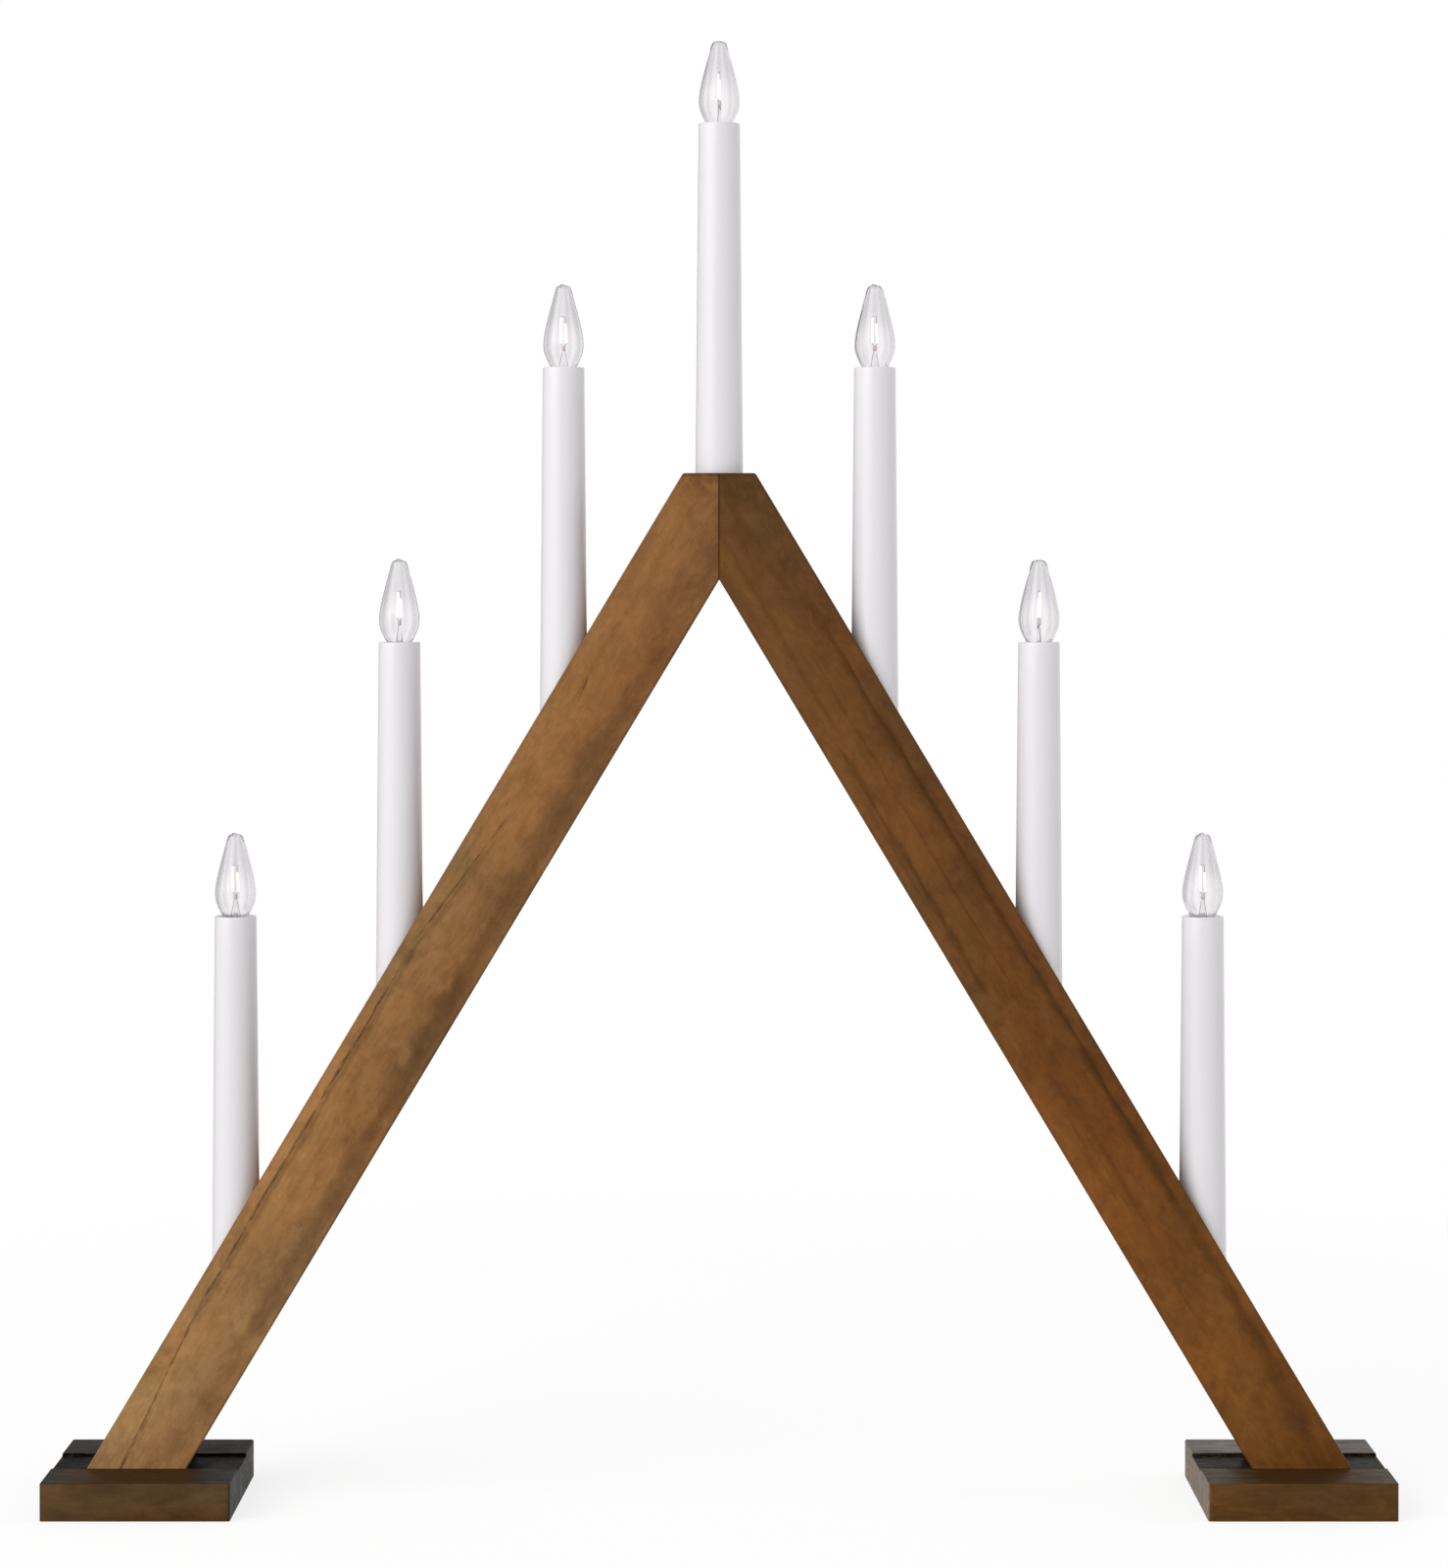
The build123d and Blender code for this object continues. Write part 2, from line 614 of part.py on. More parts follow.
def make_grommet():
    """Rubber grommet in the cover strip, where the supply cord passes: flange, barrel and inner lip."""
    behind = COVER_THICKNESS - COVER_GAP
    rings = ((GROMMET_FLANGE_D, 0, GROMMET_FLANGE), (GROMMET_D, 0, behind), (GROMMET_LIP_D, behind, GROMMET_LIP))
    with BuildPart() as grommet:
        for diameter, start, length in rings:
            with BuildSketch(underside_plane(1, outlet_along).offset(-start)):
                Circle(diameter / 2)
                Circle(GROMMET_BORE_D / 2, mode=Mode.SUBTRACT)
            extrude(amount=-length)
    return grommet.part


for side, name in ((-1, "left"), (1, "right")):
    keep(make_arm(side), f"{name}_arm")
    keep(make_foot(side), f"{name}_foot")
    keep(make_cover(side), f"{name}_channel_cover")

for number, (x, z) in enumerate(zip(candle_x, seat_z), start=1):
    keep(make_sleeve(x, z), f"sleeve_{number}")
    keep(make_holder(x, z), f"lampholder_{number}")
    keep(make_contact(x, z), f"centre_contact_{number}")
    keep(make_cap(x, z), f"bulb_cap_{number}")
    keep(make_glass(x, z), f"bulb_glass_{number}")
    keep(make_filament(x, z), f"bulb_filament_{number}")

keep(make_screw_shells(), "screw_shells")
keep(make_contact_springs(), "contact_springs")
keep(make_dowels(), "apex_dowels")
keep(make_foot_screws(), "foot_screws")
keep(make_link_wires(), "link_wires")
keep(make_supply_wires(), "supply_wires")
keep(make_splices(), "supply_splices")
keep(make_grommet(), "cable_grommet")

print("lean from vertical", round(degrees(lean), 2), "inner apex", round(inner_apex, 2))
print("seat heights", [round(z, 2) for z in seat_z])
print("height", round(seat_z[middle] + SLEEVE_LENGTH + GLASS_HEIGHT, 2))
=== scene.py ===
"""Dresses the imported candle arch: stained timber, gloss white sleeves and lit fluted bulbs."""

import json
from math import atan2, cos, pi, radians, sin

import bpy
from mathutils import Matrix, Vector


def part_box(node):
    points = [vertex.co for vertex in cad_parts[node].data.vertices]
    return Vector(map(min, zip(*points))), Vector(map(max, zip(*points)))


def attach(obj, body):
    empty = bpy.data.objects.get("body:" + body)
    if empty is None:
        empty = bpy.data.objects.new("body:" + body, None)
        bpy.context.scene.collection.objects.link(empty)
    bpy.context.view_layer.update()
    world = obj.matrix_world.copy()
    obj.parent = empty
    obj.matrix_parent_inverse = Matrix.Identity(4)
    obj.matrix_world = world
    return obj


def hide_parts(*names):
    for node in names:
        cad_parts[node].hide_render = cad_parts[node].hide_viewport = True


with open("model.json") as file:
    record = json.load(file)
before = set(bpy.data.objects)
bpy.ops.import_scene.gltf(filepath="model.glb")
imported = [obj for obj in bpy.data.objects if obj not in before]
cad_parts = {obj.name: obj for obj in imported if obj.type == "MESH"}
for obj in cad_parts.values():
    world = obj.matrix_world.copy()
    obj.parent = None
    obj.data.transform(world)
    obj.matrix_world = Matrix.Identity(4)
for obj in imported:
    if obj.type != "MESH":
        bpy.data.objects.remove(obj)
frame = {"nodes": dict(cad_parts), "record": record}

bl_info = {
    "name": "Candle arch",
    "version": (1, 0, 0),
    "blender": (4, 5, 0),
    "location": "View3D > Sidebar > Candle arch",
    "description": "Finishes a seven-light candle arch in stained timber, white sleeves and clear bulbs",
    "category": "Object",
}

MM = 0.001
SMOOTH_ANGLE = radians(40)
GLASS_SMOOTH_ANGLE = radians(50)
CANDLES = range(1, 8)
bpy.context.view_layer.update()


def arm_lean():
    """Lean of the arms from the vertical, from the outlet's axis, which is square to an arm's underside."""
    outlet = next(m for m in frame["record"]["mounts"] if m["name"] == "cable_outlet")
    return atan2(-outlet["axis"][2], -outlet["axis"][0])


LEAN = arm_lean()


# Settings


def colour_setting(name, description, default):
    """Property for a colour."""
    return bpy.props.FloatVectorProperty(
        name=name, description=description, subtype="COLOR", size=4, min=0, max=1, default=default,
    )


def length_setting(name, description, default):
    """Property for a length."""
    return bpy.props.FloatProperty(name=name, description=description, unit="LENGTH", default=default)


class TimberSettings(bpy.types.PropertyGroup):
    """Stain colours of the arms and feet."""

    left_light: colour_setting(
        "Left arm, light", "Lighter stain of the left arm", (0.312, 0.167, 0.0635, 1),
    )
    left_dark: colour_setting("Left arm, dark", "Darker stain of the left arm", (0.150, 0.0775, 0.0282, 1))
    right_light: colour_setting(
        "Right arm, light", "Lighter stain of the right arm", (0.198, 0.0775, 0.0160, 1),
    )
    right_dark: colour_setting(
        "Right arm, dark", "Darker stain of the right arm", (0.088, 0.0334, 0.0070, 1),
    )
    left_foot_light: colour_setting(
        "Left foot, light", "Lighter stain of the left foot's front", (0.130, 0.071, 0.030, 1),
    )
    left_foot_dark: colour_setting(
        "Left foot, dark", "Darker stain of the left foot's front", (0.080, 0.044, 0.019, 1),
    )
    # Painted shade: the left foot's top is coloured near black, darker than its front, because little light
    # falls on it
    left_foot_top: colour_setting(
        "Left foot, top", "Stain of the left foot's top", (0.036, 0.031, 0.027, 1),
    )
    right_foot_light: colour_setting(
        "Right foot, light", "Lighter stain of the right foot's front", (0.152, 0.070, 0.021, 1),
    )
    right_foot_dark: colour_setting(
        "Right foot, dark", "Darker stain of the right foot's front", (0.086, 0.041, 0.013, 1),
    )
    # The right foot's top colours are its stain with painted sheen: grey where the varnish would reflect the
    # white room
    right_foot_top: colour_setting(
        "Right foot, top", "Stain of the right foot's top, before the groove", (0.080, 0.062, 0.040, 1),
    )
    vein: colour_setting(
        "Grain lines", "Colour of the dark lines along the grain", (0.042, 0.017, 0.004, 1),
    )


class CandleSettings(bpy.types.PropertyGroup):
    """Sizes and colours of the sleeves and bulbs."""

    rim_diameter: length_setting("Rim diameter", "Outside diameter of a sleeve at its rim", 15.6 * MM)
    mouth_diameter: length_setting("Mouth diameter", "Inside diameter of a sleeve at its rim", 12.9 * MM)
    mouth_depth: length_setting(
        "Mouth depth", "Depth of the mouth down to the rib under the lampholder", 28.0 * MM,
    )
    wall: length_setting("Sleeve wall", "Wall thickness of a sleeve", 1.2 * MM)
    sleeve_white: colour_setting("Sleeve white", "Colour of the sleeves", (0.862, 0.838, 0.868, 1))
    flutes: bpy.props.IntProperty(
        name="Flutes", description="Flutes around a bulb", min=4, max=16, default=10,
    )
    flute_depth: bpy.props.FloatProperty(
        name="Flute depth", description="Depth of a flute as a share of the bulb's radius",
        min=0, max=0.1, default=0.027,
    )
    glass_wall: length_setting("Glass wall", "Wall thickness of a bulb", 0.5 * MM)
    glow_colour: colour_setting("Glow colour", "Colour of the lit filaments", (1.0, 0.92, 0.81, 1))
    glow_strength: bpy.props.FloatProperty(
        name="Glow strength", description="Brightness of the lit filaments", min=0, default=1.25,
    )


class StageSettings(bpy.types.PropertyGroup):
    """Camera and studio light."""

    camera_place: bpy.props.FloatVectorProperty(
        name="Camera place", description="Where the camera stands", subtype="XYZ", unit="LENGTH",
        size=3, default=(0.0018, -1.3717, 0.3436),
    )
    camera_pitch: bpy.props.FloatProperty(
        name="Camera pitch", description="How far the camera looks down",
        subtype="ANGLE", default=0.0111,
    )
    focal_length: bpy.props.FloatProperty(
        name="Focal length", description="Lens of the camera, in millimetres", default=83.73,
    )
    frame_shift: bpy.props.FloatProperty(
        name="Frame shift", description="Upright shift of the lens, as a share of the frame's height",
        default=-0.1,
    )
    key_power: bpy.props.FloatProperty(
        name="Key light", description="Power of the soft key light, from the front left",
        unit="POWER", default=326.0,
    )
    fill_power: bpy.props.FloatProperty(
        name="Fill light", description="Power of the weak light from the right", unit="POWER", default=9.0,
    )
    sky_strength: bpy.props.FloatProperty(
        name="Room light", description="Strength of the even light of the room", min=0, default=0.485,
    )


# Modelling helpers


def start_fresh():
    """Leaves edit mode and selects nothing."""
    if bpy.context.mode != "OBJECT":
        bpy.ops.object.mode_set(mode="OBJECT")
    bpy.ops.object.select_all(action="DESELECT")


def choose(*pieces):
    """Selects pieces, with the first of them active."""
    start_fresh()
    for piece in pieces:
        piece.select_set(True)
    bpy.context.view_layer.objects.active = pieces[0]


def in_mm(*outline):
    """Outline given as (radius, height) in millimetres, in metres."""
    return [(radius * MM, height * MM) for radius, height in outline]


def turned(name, outline, steps):
    """Lathe work about the Z axis: a point is extruded along an outline of (radius, height), then spun."""
    start_fresh()
    bpy.ops.mesh.primitive_plane_add(size=MM)
    piece = bpy.context.object
    piece.name = piece.data.name = name
    bpy.ops.object.mode_set(mode="EDIT")
    bpy.ops.mesh.select_all(action="SELECT")
    bpy.ops.mesh.merge(type="CENTER")
    here = Vector((outline[0][0], 0, outline[0][1]))
    bpy.ops.transform.translate(value=here)
    for radius, height in outline[1:]:
        there = Vector((radius, 0, height))
        bpy.ops.mesh.extrude_vertices_move(TRANSFORM_OT_translate={"value": there - here})
        here = there
    bpy.ops.mesh.select_all(action="SELECT")
    bpy.ops.mesh.spin(steps=steps, angle=2 * pi, center=(0, 0, 0), axis=(0, 0, 1))
    close_up(piece)
    return piece


def close_up(piece):
    """Merges doubled points, turns the faces outwards and shades the piece smooth up to an angle."""
    if bpy.context.mode != "EDIT_MESH":
        bpy.ops.object.mode_set(mode="EDIT")
    bpy.ops.mesh.select_all(action="SELECT")
    bpy.ops.mesh.remove_doubles(threshold=MM / 1000)
    bpy.ops.mesh.dissolve_degenerate(threshold=MM / 1000)
    bpy.ops.mesh.normals_make_consistent(inside=False)
    bpy.ops.object.mode_set(mode="OBJECT")
    bpy.ops.object.shade_smooth_by_angle(angle=SMOOTH_ANGLE)


def copy_of(master, name, place):
    """Copy of a piece with its own mesh, put in place by its mesh."""
    piece = master.copy()
    piece.data = master.data.copy()
    piece.name = piece.data.name = name
    piece.data.transform(place)
    bpy.context.scene.collection.objects.link(piece)
    return piece


def put_away(*masters):
    """Removes the models that the finished pieces were copied from."""
    for master in masters:
        mesh = master.data
        bpy.data.objects.remove(master)
        bpy.data.meshes.remove(mesh)


def apply_modifier(piece, kind, **values):
    """Adds a modifier, sets it and applies it."""
    modifier = piece.modifiers.new(kind.title(), kind)
    for key, value in values.items():
        setattr(modifier, key, value)
    choose(piece)
    bpy.ops.object.modifier_apply(modifier=modifier.name)


def candle(number):
    """Axis x, foot height and rim height of one candle's sleeve, from the frame."""
    low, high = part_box(f"sleeve_{number}")
    return (low[0] + high[0]) / 2, low[2], high[2]


def finish_node(name, material):
    """Gives a CAD node its finish."""
    for place in frame["nodes"][name].material_slots:
        place.material = material


def finish_piece(piece, body, slot, material, *nodes):
    """Gives a new piece its finish, its body and the nodes that it stands for."""
    piece.data.materials.clear()
    piece.data.materials.append(material)
    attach(piece, body)
    if nodes:
        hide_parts(*nodes)


# Material helpers


def make(tree, kind, sockets=None, **values):
    """Adds a node, with its settings, and with values or links on its sockets."""
    node = tree.nodes.new(kind)
    for key, value in values.items():
        setattr(node, key, value)
    for key, value in (sockets or {}).items():
        if isinstance(value, bpy.types.NodeSocket):
            tree.links.new(value, node.inputs[key])
        else:
            node.inputs[key].default_value = value
    return node


def calc(tree, operation, *values):
    """Math node on up to three values."""
    sockets = dict(enumerate(values))
    return make(tree, "ShaderNodeMath", sockets, operation=operation).outputs[0]


def spread(tree, value, low, high, to_low=0.0, to_high=1.0):
    """Smooth step of a value from one range to another."""
    sockets = {"Value": value, "From Min": low, "From Max": high, "To Min": to_low, "To Max": to_high}
    return make(tree, "ShaderNodeMapRange", sockets, interpolation_type="SMOOTHSTEP").outputs["Result"]


def blend(tree, share, first, second, mode="MIX"):
    """Mix of two colours."""
    node = make(tree, "ShaderNodeMix", {0: share, 6: first, 7: second}, data_type="RGBA", blend_type=mode)
    return node.outputs[2]


def stretched(tree, vector, scale):
    """Coordinates stretched by a different amount along each axis."""
    sockets = {0: vector, 1: scale}
    return make(tree, "ShaderNodeVectorMath", sockets, operation="MULTIPLY").outputs[0]


def scaled(tree, vector, factor):
    """Colour or vector times one value."""
    return make(tree, "ShaderNodeVectorMath", {0: vector, "Scale": factor}, operation="SCALE").outputs[0]


def tinted(tree, colour, tint):
    """Colour multiplied by a tint."""
    return blend(tree, 1.0, colour, tint, "MULTIPLY")


def axes_of(tree, vector):
    """Parts of a vector, by the names X, Y and Z."""
    return make(tree, "ShaderNodeSeparateXYZ", {0: vector}).outputs


def length_of(tree, vector):
    """Length of a vector."""
    return make(tree, "ShaderNodeVectorMath", {0: vector}, operation="LENGTH").outputs["Value"]


def share_along(tree, vector, direction):
    """How far a vector points along a direction."""
    sockets = {0: vector, 1: direction}
    return make(tree, "ShaderNodeVectorMath", sockets, operation="DOT_PRODUCT").outputs["Value"]


def noise(tree, vector, scale, detail=2.0, roughness=0.5, distortion=0.0):
    """Cloudy noise at a number of features per metre along each axis."""
    sockets = {
        "Vector": stretched(tree, vector, scale), "Scale": 1.0, "Detail": detail,
        "Roughness": roughness, "Distortion": distortion,
    }
    return make(tree, "ShaderNodeTexNoise", sockets).outputs["Fac"]


def new_group(name, inputs, outputs):
    """Shader node group with named sockets, each given as (name, kind)."""
    tree = bpy.data.node_groups.new(name, "ShaderNodeTree")
    for in_out, sockets in (("INPUT", inputs), ("OUTPUT", outputs)):
        for label, kind in sockets:
            tree.interface.new_socket(label, in_out=in_out, socket_type=f"NodeSocket{kind}")
    return tree, tree.nodes.new("NodeGroupInput").outputs, tree.nodes.new("NodeGroupOutput").inputs


def stained_grain():
    """Blotchy stained softwood, with its grain along the coordinates' X."""
    tree, given, result = new_group(
        "stained_grain",
        [("Vector", "Vector"), ("Light", "Color"), ("Dark", "Color"), ("Vein", "Color"), ("Veins", "Float")],
        [("Color", "Color"), ("Roughness", "Float"), ("Height", "Float")],
    )
    place = given["Vector"]
    blotch = spread(tree, noise(tree, place, (22, 46, 46), 3.0, 0.55, 0.6), 0.34, 0.66)
    cloud = spread(tree, noise(tree, place, (105, 150, 150), 3.0, 0.62, 0.8), 0.3, 0.7)
    fleck = spread(tree, noise(tree, place, (420, 620, 620), 2.0, 0.6), 0.25, 0.75)
    fibre = noise(tree, place, (45, 1300, 1300), 2.0, 0.6)
    streak = spread(tree, noise(tree, place, (5, 170, 170), 2.0, 0.5, 0.3), 0.56, 0.74)
    pore = spread(tree, noise(tree, place, (160, 2600, 2600), 1.0), 0.66, 0.74)
    tone = calc(tree, "MULTIPLY_ADD", cloud, 0.36, calc(tree, "MULTIPLY_ADD", blotch, 0.34, 0.05))
    tone = calc(tree, "MULTIPLY_ADD", fleck, 0.18, tone)
    colour = blend(tree, tone, given["Dark"], given["Light"])
    # The stain runs warmer in some places and greener in others
    hue = spread(tree, noise(tree, place, (11, 30, 30), 2.0), 0.36, 0.64)
    cast = blend(tree, hue, (0.95, 1.02, 1.06, 1), (1.05, 0.96, 0.86, 1))
    colour = tinted(tree, colour, cast)
    shaded = scaled(tree, colour, spread(tree, fibre, 0.25, 0.75, 0.95, 1.04))
    veins = calc(tree, "MULTIPLY", streak, given["Veins"])
    veined = blend(tree, veins, shaded, given["Vein"])
    tree.links.new(blend(tree, calc(tree, "MULTIPLY", pore, 0.22), veined, given["Vein"]), result["Color"])
    tree.links.new(calc(tree, "MULTIPLY_ADD", cloud, 0.14, 0.4), result["Roughness"])
    relief = calc(tree, "MULTIPLY_ADD", pore, -0.6, calc(tree, "MULTIPLY_ADD", streak, -0.3, fibre))
    tree.links.new(relief, result["Height"])
    return tree


ARM_WIDTH = 32 * MM
ARM_DEPTH = 24 * MM
HALF_TOP = 13.5 * MM  # half the width of the arch's level top
LINE_SLANT = 0.17  # drift of a dark line from an arm's front to its back
LINE_FADE = 12 * MM
LINE_DEPTH = 0.85  # relief of a dark line beside that of the grain


def grain_line():
    """Mask of one dark line along the grain: where it lies, how it drifts, where it starts and ends."""
    tree, given, result = new_group(
        "grain_line",
        [("Vector", "Vector"), ("Across", "Float"), ("Drift", "Float"), ("From", "Float"), ("To", "Float"),
         ("Width", "Float"), ("Wobble", "Float"), ("Broken", "Float")],
        [("Mask", "Float")],
    )
    place = given["Vector"]
    axes = axes_of(tree, place)
    run = calc(tree, "SUBTRACT", axes["X"], given["From"])
    middle = calc(tree, "MULTIPLY_ADD", run, given["Drift"], given["Across"])
    sway = calc(tree, "SUBTRACT", noise(tree, place, (45, 20, 0), 2.0), 0.5)
    middle = calc(tree, "MULTIPLY_ADD", sway, given["Wobble"], middle)
    # The line slants through the plank's thickness, so the back isn't a copy of the front
    behind = calc(tree, "ADD", axes["Y"], ARM_DEPTH / 2)
    middle = calc(tree, "MULTIPLY_ADD", behind, LINE_SLANT, middle)
    gap = calc(tree, "ABSOLUTE", calc(tree, "SUBTRACT", axes["Z"], middle))
    swell = spread(tree, noise(tree, place, (70, 60, 60)), 0.3, 0.7, 0.35, 1.2)
    breadth = calc(tree, "MULTIPLY", given["Width"], swell)
    core = spread(tree, calc(tree, "DIVIDE", gap, breadth), 1.0, 0.1)
    ragged = spread(tree, noise(tree, place, (170, 500, 500), 2.0, 0.6), 0.56, 0.36)
    lost = calc(tree, "MULTIPLY", ragged, given["Broken"])
    core = calc(tree, "MULTIPLY", core, calc(tree, "SUBTRACT", 1.0, lost))
    started = spread(tree, axes["X"], given["From"], calc(tree, "ADD", given["From"], LINE_FADE))
    ended = spread(tree, axes["X"], given["To"], calc(tree, "SUBTRACT", given["To"], LINE_FADE))
    mask = calc(tree, "MULTIPLY", core, calc(tree, "MULTIPLY", started, ended))
    tree.links.new(mask, result["Mask"])
    return tree


def fine_scuff():
    """Faint unevenness of moulded plastic and worn metal."""
    tree, given, result = new_group(
        "fine_scuff",
        [("Vector", "Vector"), ("Color", "Color"), ("Tint", "Float"), ("Roughness", "Float"),
         ("Spread", "Float")],
        [("Color", "Color"), ("Roughness", "Float"), ("Height", "Float")],
    )
    cloud = noise(tree, given["Vector"], (60, 60, 25), 3.0)
    grain = noise(tree, given["Vector"], (900, 900, 900), 2.0)
    shade = calc(tree, "MULTIPLY_ADD", calc(tree, "SUBTRACT", cloud, 0.5), given["Tint"], 1.0)
    tree.links.new(scaled(tree, given["Color"], shade), result["Color"])
    uneven = calc(tree, "SUBTRACT", grain, 0.5)
    rough = calc(tree, "MULTIPLY_ADD", uneven, given["Spread"], given["Roughness"])
    tree.links.new(rough, result["Roughness"])
    relief = calc(tree, "MULTIPLY_ADD", cloud, 0.5, calc(tree, "MULTIPLY", grain, 0.1))
    tree.links.new(relief, result["Height"])
    return tree


def shared_group(builder):
    """The node group of that name, built the first time that it is asked for."""
    return bpy.data.node_groups.get(builder.__name__) or builder()


def new_material(name):
    """Material with a Principled shader: its tree and that shader."""
    material = bpy.data.materials.new(name)
    material.use_nodes = True
    tree = material.node_tree
    return material, tree, tree.nodes["Principled BSDF"]


def place_group(tree, builder, sockets):
    """Puts a shared node group into a material."""
    return make(tree, "ShaderNodeGroup", sockets, node_tree=shared_group(builder)).outputs


def object_coordinates(tree, offset=(0, 0, 0), turn=0.0):
    """Object coordinates, turned about Y and moved."""
    place = make(tree, "ShaderNodeTexCoord").outputs["Object"]
    sockets = {"Vector": place, "Location": offset, "Rotation": (0, turn, 0)}
    return make(tree, "ShaderNodeMapping", sockets).outputs["Vector"]


def add_bump(tree, shader, height, strength, distance):
    """Feeds a height through a Bump node into the shader."""
    sockets = {"Height": height, "Strength": strength, "Distance": distance}
    tree.links.new(make(tree, "ShaderNodeBump", sockets).outputs["Normal"], shader.inputs["Normal"])


PLAIN_CASTS = ((1, 1, 1, 1),) * 5
TOP_TO_LOW = (0.03, 0.40)  # where the casts change along an arm, in metres from its top
LOW_TO_FOOT = (0.385, 0.42)
TIMBER_SHEEN = 0.12
FOOT_SHEEN = 0.03


def worn_edges(tree, place, colour, vein):
    """Painted shade along an arm's side edges and its top edge, a dark mitre joint, and darker stain soaked
    in unevenly under the arch's level top.
    """
    across = axes_of(tree, place)["Z"]
    from_middle = calc(tree, "ABSOLUTE", calc(tree, "SUBTRACT", across, ARM_WIDTH / 2))
    # Painted shade along the rounded side edges
    edge = spread(tree, from_middle, ARM_WIDTH / 2 - 1.4 * MM, ARM_WIDTH / 2, 0.0, 0.3)
    colour = blend(tree, edge, colour, vein)
    where = axes_of(tree, make(tree, "ShaderNodeTexCoord").outputs["Object"])
    mitre = spread(tree, calc(tree, "ABSOLUTE", where["X"]), 0.6 * MM, 0.2 * MM, 0.0, 0.4)
    colour = blend(tree, mitre, colour, vein)
    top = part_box("left_arm")[1][2]
    # Painted shade along the top edge
    rim = spread(tree, where["Z"], top - 1.8 * MM, top - 0.3 * MM, 0.0, 0.6)
    colour = blend(tree, rim, colour, vein)
    soaked = spread(tree, where["Z"], top - 11 * MM, top - 3 * MM, 0.0, 0.42)
    patchy = spread(tree, noise(tree, place, (130, 150, 150), 3.0, 0.65), 0.38, 0.6)
    return blend(tree, calc(tree, "MULTIPLY", soaked, patchy), colour, vein)


def finish_wood(tree, shader, colour, rough, height, sheen):
    """Feeds the colour and relief of stained wood into the shader, with little gloss."""
    tree.links.new(colour, shader.inputs["Base Color"])
    tree.links.new(rough, shader.inputs["Roughness"])
    shader.inputs["Specular IOR Level"].default_value = sheen
    add_bump(tree, shader, height, 0.3, 0.4 * MM)


def timber_material(name, light, dark, vein, veins, offset, turn, lines=(), casts=PLAIN_CASTS):
    """Stained timber with its grain along one direction, and any dark lines drawn on it.

    The casts tint the colour at an arm's top, low on it, at its foot, and along its left and right edges. The
    lightening low on the arm and at its foot is partly stain and partly painted light; the lighter left side
    and darker right side are partly stain and partly painted highlight and shade of the rounded edges.
    """
    material, tree, shader = new_material(name)
    place = object_coordinates(tree, offset, turn)
    sockets = {"Vector": place, "Light": light, "Dark": dark, "Vein": vein, "Veins": veins}
    grain = place_group(tree, stained_grain, sockets)
    height = grain["Height"]
    axes = axes_of(tree, place)
    top, low, foot, left_edge, right_edge = casts
    # Lighter low on the arm and at its foot: partly stain, partly painted light
    cast = blend(tree, spread(tree, axes["X"], *TOP_TO_LOW), top, low)
    cast = blend(tree, spread(tree, axes["X"], *LOW_TO_FOOT), cast, foot)
    colour = tinted(tree, grain["Color"], cast)
    # Lighter left side and darker right side: partly stain, partly painted highlight and shade of the rounded
    # edges
    cast = blend(tree, spread(tree, axes["Z"], 2 * MM, 27 * MM), left_edge, right_edge)
    colour = tinted(tree, colour, cast)
    for strength, shape in lines:
        mask = place_group(tree, grain_line, {"Vector": place, **shape})["Mask"]
        colour = blend(tree, calc(tree, "MULTIPLY", mask, strength), colour, vein)
        height = calc(tree, "MULTIPLY_ADD", mask, -LINE_DEPTH * strength, height)
    if lines:
        colour = worn_edges(tree, place, colour, vein)
    finish_wood(tree, shader, colour, grain["Roughness"], height, TIMBER_SHEEN)
    return material


PITH = (0, 12 * MM, -46 * MM)  # middle of the growth rings, under the feet
RING_WIDTH = 3.2 * MM


def end_grain():
    """Growth rings on the sawn ends of a block whose grain runs along X."""
    tree, given, result = new_group(
        "end_grain", [("Vector", "Vector"), ("Color", "Color")], [("Color", "Color"), ("Height", "Float")]
    )
    place = given["Vector"]
    sockets = {0: place, 1: PITH}
    from_pith = make(tree, "ShaderNodeVectorMath", sockets, operation="SUBTRACT").outputs[0]
    reach = length_of(tree, stretched(tree, from_pith, (0, 1, 1)))
    sway = noise(tree, place, (0, 60, 60), 2.0)
    turn = calc(tree, "MULTIPLY_ADD", reach, 2 * pi / RING_WIDTH, calc(tree, "MULTIPLY", sway, 5.0))
    ring = calc(tree, "MULTIPLY_ADD", calc(tree, "SINE", turn), 0.5, 0.5)
    rough = noise(tree, place, (420, 420, 300), 3.0, 0.65, 0.5)
    tone = calc(tree, "MULTIPLY_ADD", ring, 0.2, calc(tree, "MULTIPLY_ADD", rough, 0.9, 0.45))
    tree.links.new(scaled(tree, given["Color"], tone), result["Color"])
    tree.links.new(calc(tree, "MULTIPLY_ADD", ring, 0.4, rough), result["Height"])
    return tree


